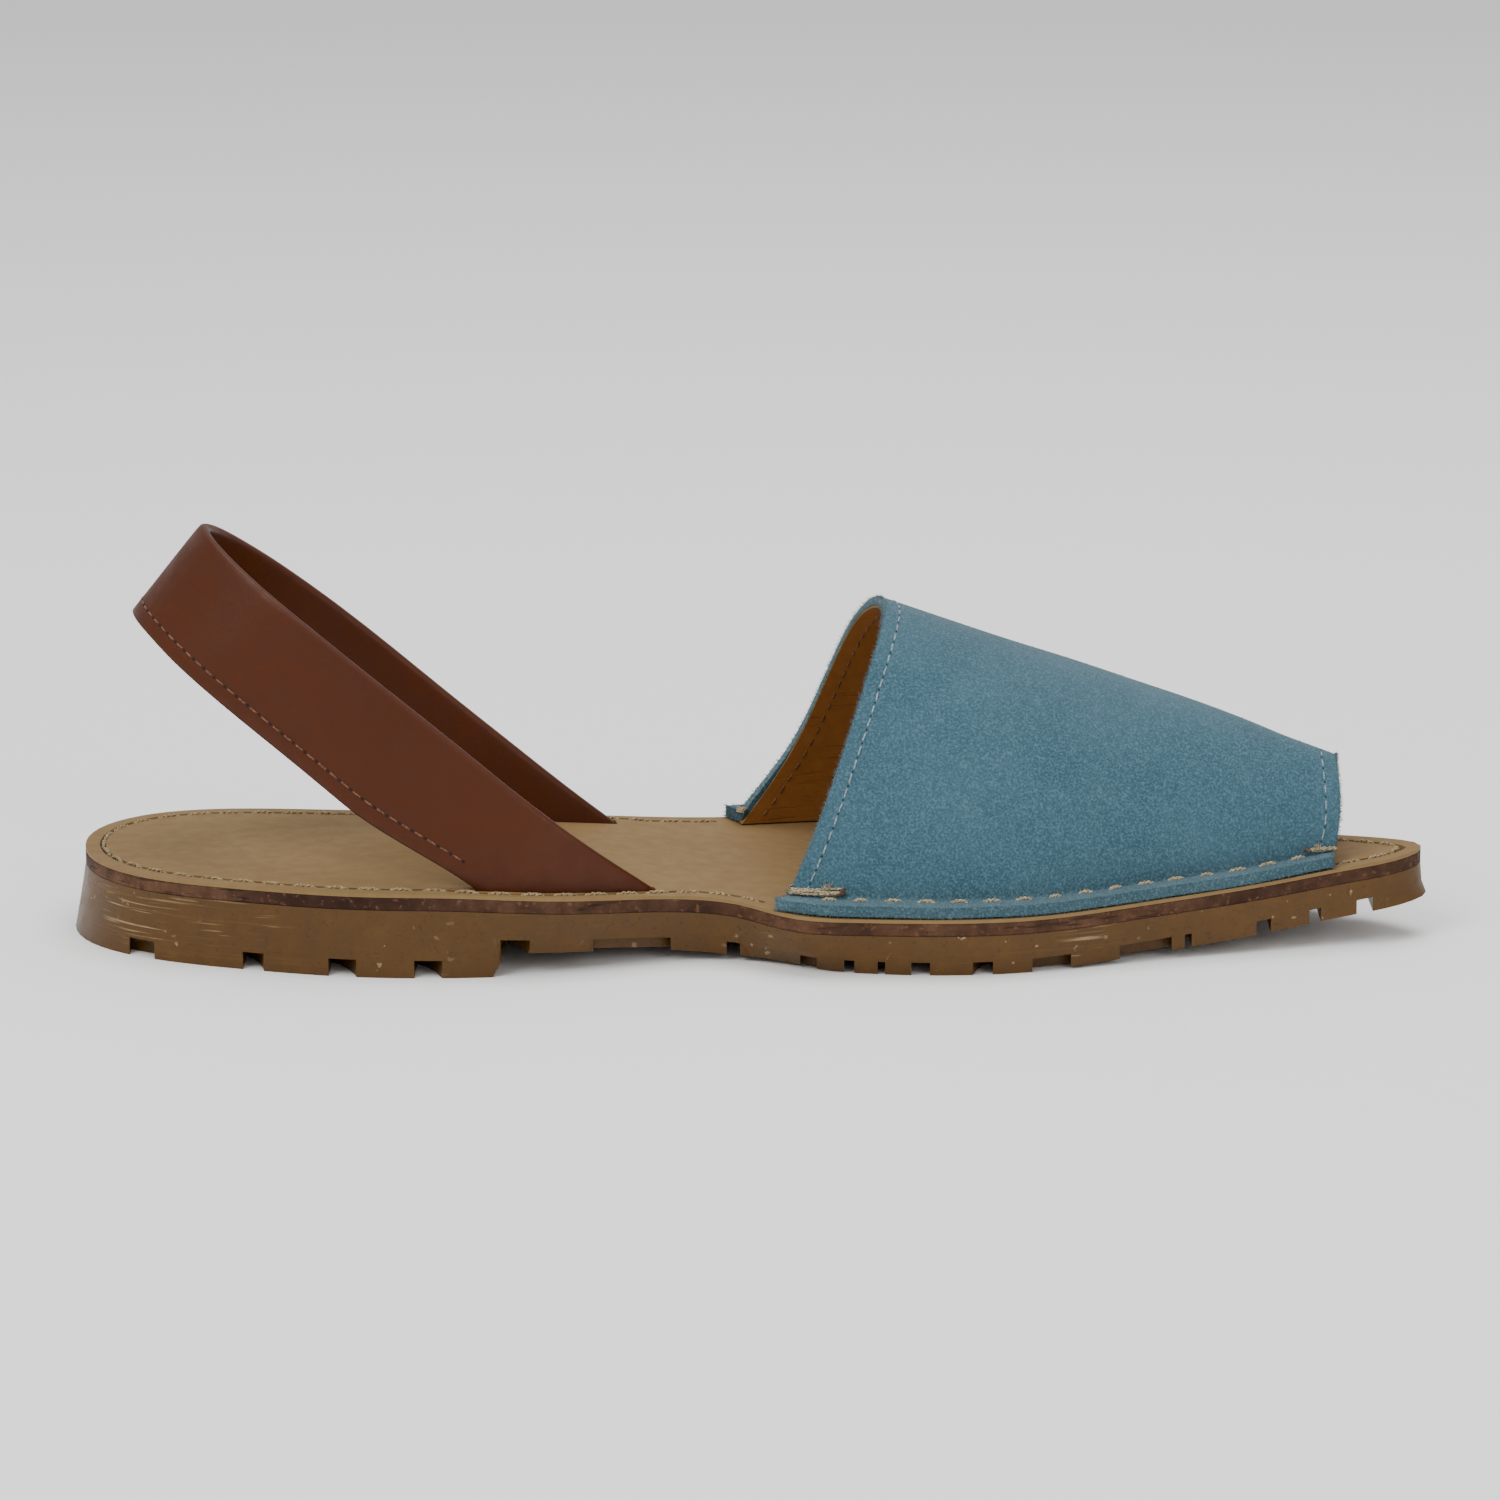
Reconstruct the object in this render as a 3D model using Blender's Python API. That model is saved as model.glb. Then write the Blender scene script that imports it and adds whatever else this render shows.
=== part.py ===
"""Left avarca sandal, about EU 38, standing empty on its sole.

A lugged rubber outsole carries a brown leather board and a natural leather insole. The vamp is one bent
sheet whose turned-out flanges are stitched to the insole. The heel strap is one folded band, and its two
feet pass down through slits in the insole and the board.

The toe points along +X, the outer side of the foot is +Y and the floor is z = 0. The origin is under the
middle of the sole.
"""

import math

import bmesh
import bpy
import numpy as np

# Driving sizes, in metres and degrees

BOARD_LENGTH = 0.2555  # leather board, heel to toe
BALL_WIDTH = 0.0820  # leather board, across its widest place
EDGE_UNDERCUT = 0.0060  # how far the tread lies inside the board where the vamp's flange begins

SOLE_THICKNESS = 0.0080  # rubber under the ball, with its lugs
HEEL_LIFT = 0.0050  # how much higher the heel stands than the ball
TOE_SPRING = 0.0083  # height of the tread under the toe's tip
TOE_THINNING = 0.0019  # how much thinner the rubber is at the tip
LUG_DEPTH = 0.0027  # grooves of the forefoot and the waist
HEEL_LUG_DEPTH = 0.0034  # grooves of the heel block

BOARD_THICKNESS = 0.0019
INSOLE_THICKNESS = 0.0007
LAYER_GAP = 0.0003  # between pieces that lie on each other

TREAD_BAND = 0.0110  # width of the row of lugs along the sole's edge
CHANNEL_WIDTH = 0.0032  # groove between that row and the middle lugs
LUG_GAP = 0.0050  # usual opening between two edge lugs
CHEVRON_RISE = 0.0070  # how far the middle grooves point towards the toe

FLANGE_REAR_WIDTH = 0.0050  # the vamp's turned-out edge, from its fold to the board's edge
FLANGE_FRONT_WIDTH = 0.0041
VAMP_WALL = 0.0022
VAMP_REAR_HEIGHT = 0.0520  # above the insole, over the instep
VAMP_FRONT_HEIGHT = 0.0190  # above the insole, over the toes
FLANGE_REAR_REACH = 0.0025  # how far the flange's corner runs on behind the fold

STRAP_WIDTH = 0.0218
STRAP_THICKNESS = 0.0026
STRAP_SLOPE = 38.0  # angle of the strap's inner side to the floor
STRAP_OUTER_SLOPE = 39.3
STRAP_LEAN = 3.7  # how far the strap hangs down towards the outer side, in degrees
STRAP_TOP_HEIGHT = 0.0788  # the folded edge behind the heel, above the floor
STRAP_BACK_SETBACK = 0.0245  # from the board's heel end to the folded edge
STRAP_SPREAD = 0.0480  # between the two sides, middle to middle
STRAP_REACH = 0.1080  # from the back of the strap to the front of its feet, along the slope
STRAP_FOLD_RADIUS = 0.0010
STRAP_FOOT_NARROWING = 0.0032  # how much of its lower edge is cut away at the foot
SLIT_INSET = 0.0049  # from the board's edge to the middle of the strap's foot
SLIT_CLEARANCE = 0.0003

# Places along the sole, as shares of the board's length from the heel

HEEL_BREAST = 0.315
HEEL_RAMP_START = 0.257
BALL_START = 0.610
BALL_END = 0.672

# The board's edge, heel back first and then round by the outer side. Along is a share of BOARD_LENGTH,
# across is a share of BALL_WIDTH from the inner side, undercut is a share of EDGE_UNDERCUT.
OUTLINE = (
    # place, along, across, undercut
    ("heel back", 0.000, 0.470, -0.38),
    ("heel back, outer corner", 0.012, 0.642, -0.28),
    ("heel, outer quarter", 0.042, 0.738, -0.06),
    ("heel, outer", 0.085, 0.784, 0.00),
    ("heel, outer widest", 0.130, 0.789, 0.00),
    ("heel, outer front", 0.200, 0.772, 0.00),
    ("waist, outer rear", 0.300, 0.764, 0.10),
    ("waist, outer", 0.400, 0.802, 0.30),
    ("waist, outer front", 0.475, 0.868, 0.45),
    ("flange start, outer", 0.503, 0.905, 0.60),
    ("ball, outer rear", 0.545, 0.962, 0.60),
    ("ball, outer widest", 0.632, 1.000, 0.34),
    ("ball, outer front", 0.728, 0.955, 0.25),
    ("toes, outer", 0.822, 0.838, 0.15),
    ("toes, outer front", 0.893, 0.695, 0.08),
    ("toe, outer corner", 0.944, 0.572, 0.00),
    ("toe, outer tip", 0.980, 0.482, -0.12),
    ("toe tip", 1.000, 0.374, -0.20),
    ("toe, inner tip", 0.984, 0.318, -0.12),
    ("toe, inner corner", 0.945, 0.278, 0.00),
    ("toes, inner front", 0.880, 0.214, 0.08),
    ("toes, inner", 0.790, 0.126, 0.15),
    ("ball, inner front", 0.722, 0.044, 0.25),
    ("ball, inner widest", 0.645, 0.000, 0.32),
    ("ball, inner rear", 0.580, 0.004, 0.50),
    ("flange start, inner", 0.533, 0.014, 1.00),
    ("flare, inner", 0.507, 0.070, 0.85),
    ("waist, inner front", 0.487, 0.114, 0.40),
    ("waist, inner", 0.448, 0.116, 0.36),
    ("waist, inner rear", 0.398, 0.056, 0.46),
    ("breast, inner", 0.350, 0.006, 0.35),
    ("heel, inner front", 0.285, -0.003, 0.05),
    ("heel, inner", 0.205, 0.012, 0.00),
    ("heel, inner rear", 0.125, 0.078, 0.00),
    ("heel, inner quarter", 0.052, 0.180, -0.06),
    ("heel back, inner corner", 0.014, 0.312, -0.28),
)

# Openings in the row of edge lugs, the same on both sides. Along is the rear wall as a share of
# BOARD_LENGTH, width a share of LUG_GAP, depth a share of TREAD_BAND. A fin has one square wall, at its
# rear (lean 1) or its front (lean -1), and one that curves in to meet it. Lean 0 has two square walls.
EDGE_OPENINGS = (
    # along, width, depth, lean
    (0.040, 1.00, 0.34, 0),
    (0.127, 0.80, 0.92, 1),
    (0.191, 1.05, 0.92, 1),
    (0.254, 1.05, 0.92, 1),
    (0.317, 1.10, 0.86, 1),
    (0.384, 2.90, 0.20, 0),
    (0.482, 0.50, 1.15, 0),
    (0.536, 0.62, 0.12, 0),
    (0.568, 0.38, 1.15, 0),
    (0.5925, 0.28, 0.40, 0),
    (0.617, 0.70, 1.15, 0),
    (0.662, 0.76, 0.80, -1),
    (0.706, 1.46, 0.26, 0),
    (0.771, 2.00, 0.26, 0),
    (0.820, 0.26, 0.60, 0),
)

# Grooves that cross the whole toe, where it is too narrow for a middle row.
TOE_GROOVES = (
    # along, width as a share of LUG_GAP
    (0.874, 0.56),
    (0.914, 0.46),
    (0.950, 0.62),
)

# Fields of middle lugs. From and to are shares of BOARD_LENGTH.
MIDDLE_FIELDS = (
    # field, from, to, grooves
    ("heel", 0.065, 0.268, 3),
    ("forefoot", 0.362, 0.842, 8),
)

# Rear and front edges of the vamp round its section, as shares of BOARD_LENGTH. The angle is 0 at the
# outer fold and 180 at the inner one.
VAMP_EDGES = (
    # place, angle, rear, front
    ("outer fold", 0, 0.4930, 0.9270),
    ("outer foot", 9, 0.5175, 0.9290),
    ("outer side", 30, 0.5520, 0.9345),
    ("outer shoulder", 60, 0.5790, 0.9345),
    ("ridge", 90, 0.5970, 0.9330),
    ("inner shoulder", 120, 0.5900, 0.9345),
    ("inner side", 150, 0.5650, 0.9350),
    ("inner fold", 180, 0.5285, 0.9290),
)

RIDGE = 4  # its row in the table

VAMP_REAR_FULLNESS = -0.17  # below zero the sides lean in more than an ellipse's do
VAMP_FRONT_FULLNESS = 0.20

# The strap's middle line seen along its width, from the back to one foot. Reach is a share of
# STRAP_REACH, spread a share of half of STRAP_SPREAD.
STRAP_PATH = (
    # place, reach, spread
    ("back", 0.000, 0.000),
    ("turn", 0.018, 0.270),
    ("turn end", 0.062, 0.510),
    ("shoulder", 0.135, 0.755),
    ("side, rear", 0.260, 0.930),
    ("side", 0.480, 1.000),
    ("side, front", 0.750, 0.990),
    ("past the foot", 1.080, 0.960),
)

# Resolution

STATIONS = 88  # along the sole
CURVE_SAMPLES = 1440  # round each outline
VAMP_ROWS = 15  # rear to front
VAMP_COLUMNS = 25  # inner fold to outer fold
STRAP_STEPS = 27  # back to foot

# Colours, from the photograph, with roughness

MATERIALS = {
    "outsole": ((0.235, 0.145, 0.060), 0.45),
    "midsole": ((0.105, 0.045, 0.022), 0.75),
    "insole": ((0.430, 0.310, 0.185), 0.62),
    "vamp": ((0.110, 0.245, 0.330), 0.95),
    "heel_strap": ((0.170, 0.055, 0.018), 0.50),
}

INNER, OUTER = -1, 1


def clear_scene():
    for obj in list(bpy.data.objects):
        bpy.data.objects.remove(obj, do_unlink=True)


def spline(rows, count, closed):
    """Samples of the smooth cubic curve through the rows, evenly spaced in its parameter."""
    rows = np.asarray(rows, float)
    if closed:
        rows = np.vstack([rows, rows[:1]])
    steps = np.hypot(*np.diff(rows[:, :2], axis=0).T)
    knots = np.concatenate([[0.0], np.cumsum(steps)])
    size = len(rows)
    matrix = np.zeros((size, size))
    right = np.zeros_like(rows)
    for i in range(1, size - 1):
        before, after = steps[i - 1], steps[i]
        matrix[i, i - 1 : i + 2] = before, 2 * (before + after), after
        right[i] = 6 * ((rows[i + 1] - rows[i]) / after - (rows[i] - rows[i - 1]) / before)
    if closed:
        first, last = steps[0], steps[-1]
        matrix[0, [0, 1, size - 2]] = 2 * (first + last), first, last
        right[0] = 6 * ((rows[1] - rows[0]) / first - (rows[0] - rows[-2]) / last)
        matrix[-1, [0, -1]] = 1, -1
    else:
        matrix[0, 0] = matrix[-1, -1] = 1
    bend = np.linalg.solve(matrix, right)
    at = np.linspace(0, knots[-1], count, endpoint=not closed)
    i = np.clip(np.searchsorted(knots, at, side="right") - 1, 0, size - 2)
    span = steps[i][:, None]
    t = ((at - knots[i]) / steps[i])[:, None]
    u = 1 - t
    curve = u * rows[i] + t * rows[i + 1]
    return curve + span**2 / 6 * ((u**3 - u) * bend[i] + (t**3 - t) * bend[i + 1])


def outward(curve):
    """Unit normals that point out of a closed plan curve."""
    tangent = np.roll(curve, -1, axis=0) - np.roll(curve, 1, axis=0)
    x, y = curve[:, 0], curve[:, 1]
    area = np.sum(x * np.roll(y, -1) - np.roll(x, -1) * y)
    normal = np.stack([tangent[:, 1], -tangent[:, 0]], axis=1) * math.copysign(1, area)
    return normal / np.linalg.norm(normal, axis=1)[:, None]


class Edge:
    """A closed plan outline, read as an inner and an outer side along x."""

    def __init__(self, curve):
        self.curve = curve
        self.low, self.high = curve[:, 0].min(), curve[:, 0].max()
        start = int(curve[:, 0].argmin())
        loop = np.roll(curve, -start, axis=0)
        tip = int(loop[:, 0].argmax())
        halves = loop[: tip + 1], np.vstack([loop[tip:], loop[:1]])[::-1]
        halves = sorted(halves, key=lambda half: half[:, 1].mean())
        self.half = dict(zip((INNER, OUTER), halves))

    def y(self, side, x):
        half = self.half[side]
        return float(np.interp(x, np.maximum.accumulate(half[:, 0]), half[:, 1]))

    def inset(self, distance):
        return Edge(self.curve - outward(self.curve) * distance)

    def ring(self, shares):
        """Inner side from heel to toe, then the outer side back, at these shares of the edge's length."""
        xs = self.low + np.asarray(shares) * (self.high - self.low)
        inner = [(x, self.y(INNER, x)) for x in xs]
        outer = [(x, self.y(OUTER, x)) for x in xs[-2:0:-1]]
        return inner + outer


def make_edges():
    """The board's edge and the tread's edge, centred on the origin."""
    rows = [(along * BOARD_LENGTH, across * BALL_WIDTH, cut * EDGE_UNDERCUT) for _, along, across, cut in OUTLINE]
    sampled = spline(rows, CURVE_SAMPLES, closed=True)
    board = sampled[:, :2]
    tread = board - outward(board) * sampled[:, 2:]
    both = np.vstack([board, tread])
    middle = (both.min(axis=0) + both.max(axis=0)) / 2
    return Edge(board - middle), Edge(tread - middle)


board_edge, tread_edge = make_edges()


def place(along):
    """x of a share of the board's length."""
    return board_edge.low + along * (board_edge.high - board_edge.low)


def share(value, start, end):
    return min(1.0, max(0.0, (value - start) / (end - start)))


def smooth(t):
    return t * t * (3 - 2 * t)


# Heights along the sole


def toe_share(x):
    return share(x, place(BALL_END), tread_edge.high)


def rise(x):
    """Height of the waist's and forefoot's underside, carried on level over the heel."""
    ramp = share(x, place(HEEL_RAMP_START), place(BALL_START))
    return HEEL_LIFT * (1 + math.cos(math.pi * ramp)) / 2 + TOE_SPRING * toe_share(x) ** 1.7


def tread_bottom(x):
    return 0.0 if x < place(HEEL_BREAST) else rise(x)


def groove_roof(x, depth_share=1.0):
    depth = HEEL_LUG_DEPTH if x < place(HEEL_BREAST) else LUG_DEPTH
    return tread_bottom(x) + depth * depth_share


def rubber_top(x):
    return rise(x) + SOLE_THICKNESS - TOE_THINNING * toe_share(x)


def board_bottom(x):
    return rubber_top(x) + LAYER_GAP


def board_top(x):
    return board_bottom(x) + BOARD_THICKNESS


def insole_bottom(x):
    return board_top(x) + LAYER_GAP


def insole_top(x):
    return insole_bottom(x) + INSOLE_THICKNESS


# Making objects


def material(name):
    colour, roughness = MATERIALS[name]
    made = bpy.data.materials.new(name)
    made.use_nodes = True
    shader = made.node_tree.nodes["Principled BSDF"]
    shader.inputs["Base Color"].default_value = (*colour, 1.0)
    shader.inputs["Roughness"].default_value = roughness
    shader.inputs["Metallic"].default_value = 0.0
    made.diffuse_color = (*colour, 1.0)
    return made


def finish_object(bm, name, is_part=True):
    bmesh.ops.recalc_face_normals(bm, faces=bm.faces)
    mesh = bpy.data.meshes.new(name)
    bm.to_mesh(mesh)
    bm.free()
    obj = bpy.data.objects.new(name, mesh)
    bpy.context.scene.collection.objects.link(obj)
    if is_part:
        mesh.materials.append(material(name))
        mesh.shade_smooth()
        mesh.set_sharp_from_angle(angle=math.radians(35))
    else:
        obj.hide_render = True
        obj.display_type = "WIRE"
    return obj


def cut(obj, cutter):
    boolean = obj.modifiers.new("cut " + cutter.name, "BOOLEAN")
    boolean.object = cutter
    boolean.operation = "DIFFERENCE"
    boolean.solver = "EXACT"


def bridge(bm, low, high):
    """Side faces between two rings of vertices."""
    count = len(low)
    for i in range(count):
        j = (i + 1) % count
        bm.faces.new((low[i], low[j], high[j], high[i]))


def cap(bm, ring):
    """Closes a sole-shaped ring with faces that run straight across it."""
    count = len(ring)
    tip = count // 2
    bm.faces.new((ring[0], ring[1], ring[-1]))
    for i in range(1, tip - 1):
        bm.faces.new((ring[i], ring[i + 1], ring[count - i - 1], ring[count - i]))
    bm.faces.new((ring[tip - 1], ring[tip], ring[tip + 1]))


def plate(name, layers):
    """A solid from sole-shaped layers, lowest first, each a list of corners."""
    bm = bmesh.new()
    rings = [[bm.verts.new(corner) for corner in layer] for layer in layers]
    for low, high in zip(rings, rings[1:]):
        bridge(bm, low, high)
    cap(bm, rings[0])
    cap(bm, rings[-1])
    return finish_object(bm, name)


def prism(bm, outline, low, roof):
    """A closed cutter over a plan outline, level below and following roof(x) above."""
    bottom = [bm.verts.new((x, y, low)) for x, y in outline]
    top = [bm.verts.new((x, y, roof(x))) for x, y in outline]
    bridge(bm, bottom, top)
    bm.faces.new(bottom)
    bm.faces.new(top)


def sole_shares():
    """Shares along the sole, closer where its edge turns, with the heel breast between two of them."""
    fine = (1 - np.cos(np.linspace(0, math.pi, CURVE_SAMPLES))) / 2
    sides = [np.array([board_edge.y(side, place(at)) for at in fine]) for side in (INNER, OUTER)]
    across = np.max([np.abs(np.diff(side)) for side in sides], axis=0)
    steps = np.hypot(np.diff(fine) * BOARD_LENGTH, across)
    run = np.concatenate([[0.0], np.cumsum(steps)])
    shares = np.interp(np.linspace(0, run[-1], STATIONS), run, fine)
    near = int(np.abs(shares - HEEL_BREAST).argmin())
    step = 0.0008
    shares[near] = HEEL_BREAST - step
    return np.sort(np.append(shares, HEEL_BREAST + step))


def layer(edge, shares, height):
    return [(x, y, height(x)) for x, y in edge.ring(shares)]


# Rubber outsole


def opening_outline(side, along, width, depth, lean):
    """Plan outline of one opening in the row of edge lugs."""
    x = place(along)
    wide = width * LUG_GAP
    deep = depth * TREAD_BAND
    middle = x + wide / 2
    edge_rear = tread_edge.y(side, x)
    edge_front = tread_edge.y(side, x + wide)
    reach = EDGE_UNDERCUT * 1.5

    def inwards(edge_y, distance):
        return edge_y - side * distance

    edge_middle = tread_edge.y(side, middle)
    if lean == 0:
        corners = [(x, inwards(edge_rear, deep)), (x + wide, inwards(edge_front, deep))]
    else:
        square, curved = (x, x + wide) if lean > 0 else (x + wide, x)
        bow = ((0.34, 0.80), (0.72, 0.46))
        corners = [(square, inwards(edge_middle, deep))]
        corners += [(square + (curved - square) * a, inwards(edge_middle, deep * b)) for a, b in bow]
        corners += [(curved, inwards(edge_middle, 0.0))]
        corners = corners if lean > 0 else corners[::-1]
    return [(x, inwards(edge_rear, -reach)), *corners, (x + wide, inwards(edge_front, -reach))]


def edge_opening_cutter():
    bm = bmesh.new()
    for row in EDGE_OPENINGS:
        for side in (INNER, OUTER):
            prism(bm, opening_outline(side, *row), -SOLE_THICKNESS, groove_roof)
    return finish_object(bm, "edge openings", is_part=False)


def channel_cutter():
    """The groove round each field of middle lugs, a little shallower than the openings."""
    bm = bmesh.new()
    outer_edge = tread_edge.inset(TREAD_BAND)
    inner_edge = tread_edge.inset(TREAD_BAND + CHANNEL_WIDTH)
    for _, start, end, _ in MIDDLE_FIELDS:
        steps = max(8, round((end - start) * 60))
        shares = np.linspace(start, end, steps)
        trims = (0.0, CHANNEL_WIDTH)
        loops = []
        for edge, trim in zip((outer_edge, inner_edge), trims):
            xs = np.interp(shares, (start, end), (place(start) + trim, place(end) - trim))
            side_a = [(x, edge.y(INNER, x)) for x in xs]
            side_b = [(x, edge.y(OUTER, x)) for x in xs[::-1]]
            loops.append(side_a + side_b)
        rings = []
        for loop in loops:
            low = [bm.verts.new((x, y, -SOLE_THICKNESS)) for x, y in loop]
            high = [bm.verts.new((x, y, groove_roof(x, 0.94))) for x, y in loop]
            rings.append((low, high))
        (outer_low, outer_high), (inner_low, inner_high) = rings
        bridge(bm, outer_low, outer_high)
        bridge(bm, inner_low, inner_high)
        bridge(bm, outer_low, inner_low)
        bridge(bm, outer_high, inner_high)
    return finish_object(bm, "channels", is_part=False)


def middle_groove_cutter():
    """Pointed grooves across each field, and straight ones across the toe."""
    bm = bmesh.new()
    mid_channel = tread_edge.inset(TREAD_BAND + CHANNEL_WIDTH / 2)
    half = CHANNEL_WIDTH / 2
    for _, start, end, count in MIDDLE_FIELDS:
        for i in range(1, count + 1):
            x = place(start + (end - start) * i / (count + 1))
            left, right = mid_channel.y(INNER, x), mid_channel.y(OUTER, x)
            point = (left + right) / 2
            tip = x + CHEVRON_RISE * (right - left) / BALL_WIDTH
            outline = [(x - half, left), (x + half, left), (tip + half, point), (x + half, right),
                       (x - half, right), (tip - half, point)]
            prism(bm, outline, -SOLE_THICKNESS, lambda at: groove_roof(at, 0.88))
    for along, width in TOE_GROOVES:
        x = place(along)
        front = x + width * LUG_GAP
        left = board_edge.y(INNER, x) - EDGE_UNDERCUT
        right = board_edge.y(OUTER, x) + EDGE_UNDERCUT
        prism(bm, [(x, left), (front, left), (front, right), (x, right)], -SOLE_THICKNESS, groove_roof)
    return finish_object(bm, "middle grooves", is_part=False)


def make_outsole():
    shares = sole_shares()
    wall_edge = Edge((board_edge.curve * 0.75) + (tread_edge.curve * 0.25))
    layers = [
        layer(tread_edge, shares, tread_bottom),
        layer(wall_edge, shares, lambda x: rubber_top(x) - SOLE_THICKNESS * 0.45),
        layer(board_edge, shares, rubber_top),
    ]
    outsole = plate("outsole", layers)
    for cutter in (channel_cutter(), edge_opening_cutter(), middle_groove_cutter()):
        cut(outsole, cutter)
    return outsole


# Heel strap


def strap_frame():
    """Directions down each side of the strap and up across it, and its top edge behind the heel."""
    slopes = {INNER: math.radians(STRAP_SLOPE), OUTER: math.radians(STRAP_OUTER_SLOPE)}
    along = {side: np.array([math.cos(slope), 0.0, -math.sin(slope)]) for side, slope in slopes.items()}
    across = np.array([math.sin(slopes[INNER]), 0.0, math.cos(slopes[INNER])])
    back_x = place(0.0) + STRAP_BACK_SETBACK
    back_y = (board_edge.y(INNER, back_x) + board_edge.y(OUTER, back_x)) / 2
    top_edge = np.array([back_x, back_y, STRAP_TOP_HEIGHT])
    return along, across, top_edge


STRAP_ALONG, STRAP_ACROSS, STRAP_TOP = strap_frame()
STRAP_LINE = spline(
    [(reach * STRAP_REACH, spread * STRAP_SPREAD / 2) for _, reach, spread in STRAP_PATH], 240, closed=False
)


def strap_foot_y(side, x):
    return board_edge.y(side, x) - side * SLIT_INSET


def strap_middle(side, turn, drop):
    """Point of the strap's middle sheet: turn runs from 0 at the back to 1 past the foot, drop is the
    distance below the folded edge."""
    reach, spread = (float(np.interp(turn, np.linspace(0, 1, len(STRAP_LINE)), STRAP_LINE[:, i])) for i in (0, 1))
    point = STRAP_TOP + STRAP_ALONG[side] * reach - STRAP_ACROSS * drop
    point[1] += side * spread
    point[2] -= side * spread * math.tan(math.radians(STRAP_LEAN))
    return point


def foot_turn(side, drop):
    """Where a line at this drop meets the insole's top."""
    low, high = 0.2, 1.0
    for _ in range(40):
        middle = (low + high) / 2
        point = strap_middle(side, middle, drop)
        if point[2] > insole_top(point[0]):
            low = middle
        else:
            high = middle
    return high


def strap_point(side, t, drop_share):
    """As strap_middle, but t is 1 where the strap meets the insole, and the sheet leans out to its slit."""
    narrowing = STRAP_FOOT_NARROWING * smooth(share(t, 0.72, 1.0))
    drop = drop_share * (STRAP_WIDTH - narrowing)
    foot = foot_turn(side, drop)
    point = strap_middle(side, t * foot, drop)
    pull = smooth(share(t, 0.30, 1.0))
    point[1] += (strap_foot_y(side, point[0]) - point[1]) * pull
    return point


def strap_columns():
    """Drops across the strap, with the side offset of the section there, folded edge first."""
    fold = STRAP_FOLD_RADIUS / STRAP_WIDTH
    half = STRAP_THICKNESS / 2
    return ((0.0, half * 0.45), (fold * 0.45, half * 0.85), (fold, half), (0.30, half), (0.62, half), (1.0, half))


def strap_sections():
    """Closed sections from the inner foot round the heel to the outer foot."""
    columns = strap_columns()
    runs = [(INNER, t) for t in np.linspace(1, 0, STRAP_STEPS, endpoint=False)]
    runs += [(OUTER, t) for t in np.linspace(0, 1, STRAP_STEPS + 1)]
    sheet = np.array([[strap_point(side, t, drop) for drop, _ in columns] for side, t in runs])
    lead = np.gradient(sheet, axis=0)
    fall = np.gradient(sheet, axis=1)
    normal = np.cross(lead, fall)
    normal[[0, -1], :, 2] = 0.0
    normal /= np.linalg.norm(normal, axis=2)[:, :, None]
    offsets = np.array([offset for _, offset in columns])[None, :, None]
    faces = sheet + normal * offsets, sheet - normal * offsets
    sections = [[*face_a, *face_b[::-1]] for face_a, face_b in zip(*faces)]
    return [foot_section(sections[0]), *sections, foot_section(sections[-1])]


def foot_section(section):
    """The same section carried straight down through the slit."""
    return [(x, y, rubber_top(x) + LAYER_GAP) for x, y, _ in section]


def make_strap():
    bm = bmesh.new()
    rings = [[bm.verts.new(corner) for corner in section] for section in strap_sections()]
    for low, high in zip(rings, rings[1:]):
        bridge(bm, low, high)
    for ring in (rings[0], rings[-1]):
        count = len(ring)
        for i in range(count // 2 - 1):
            bm.faces.new((ring[i], ring[i + 1], ring[count - i - 2], ring[count - i - 1]))
    return finish_object(bm, "heel_strap")


def slit_cutter():
    """Upright slots round both feet, wider than the strap by the clearance."""
    bm = bmesh.new()
    low = rubber_top(place(HEEL_BREAST)) - SOLE_THICKNESS
    high = insole_top(place(0.0)) + SOLE_THICKNESS
    sections = strap_sections()
    for section in (sections[0], sections[-1]):
        half = len(section) // 2
        plan = np.array(section)[:, :2]
        middle = (plan[:half] + plan[half:][::-1]) / 2
        tangent = np.gradient(middle, axis=0)
        tangent /= np.linalg.norm(tangent, axis=1)[:, None]
        middle[0] -= tangent[0] * SLIT_CLEARANCE
        middle[-1] += tangent[-1] * SLIT_CLEARANCE
        normal = np.stack([-tangent[:, 1], tangent[:, 0]], axis=1)
        wide = STRAP_THICKNESS / 2 + SLIT_CLEARANCE
        keep = [0, 2, 3, 4, 5]
        outline = [*(middle + normal * wide)[keep], *(middle - normal * wide)[keep][::-1]]
        prism(bm, outline, low, lambda x: high)
    return finish_object(bm, "strap slits", is_part=False)


# Leather board and insole


def make_leathers():
    shares = sole_shares()
    board = plate("midsole", [layer(board_edge, shares, board_bottom), layer(board_edge, shares, board_top)])
    insole = plate("insole", [layer(board_edge, shares, insole_bottom), layer(board_edge, shares, insole_top)])
    slits = slit_cutter()
    cut(board, slits)
    cut(insole, slits)
    return board, insole


# Vamp


def vamp_share(x):
    _, _, rear, front = VAMP_EDGES[RIDGE]
    return (x - place(rear)) / (place(front) - place(rear))


def vamp_fold_y(side, x):
    width = FLANGE_REAR_WIDTH + (FLANGE_FRONT_WIDTH - FLANGE_REAR_WIDTH) * share(vamp_share(x), 0, 1)
    return board_edge.y(side, x) - side * width


def vamp_base(x):
    return insole_top(x) + LAYER_GAP


def vamp_height(x):
    """Outer height of the ridge, a straight line, above the vamp's base."""
    _, _, rear, front = VAMP_EDGES[RIDGE]
    rear_z = vamp_base(place(rear)) + VAMP_REAR_HEIGHT
    front_z = vamp_base(place(front)) + VAMP_FRONT_HEIGHT
    return rear_z + (front_z - rear_z) * vamp_share(x) - vamp_base(x)


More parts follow.
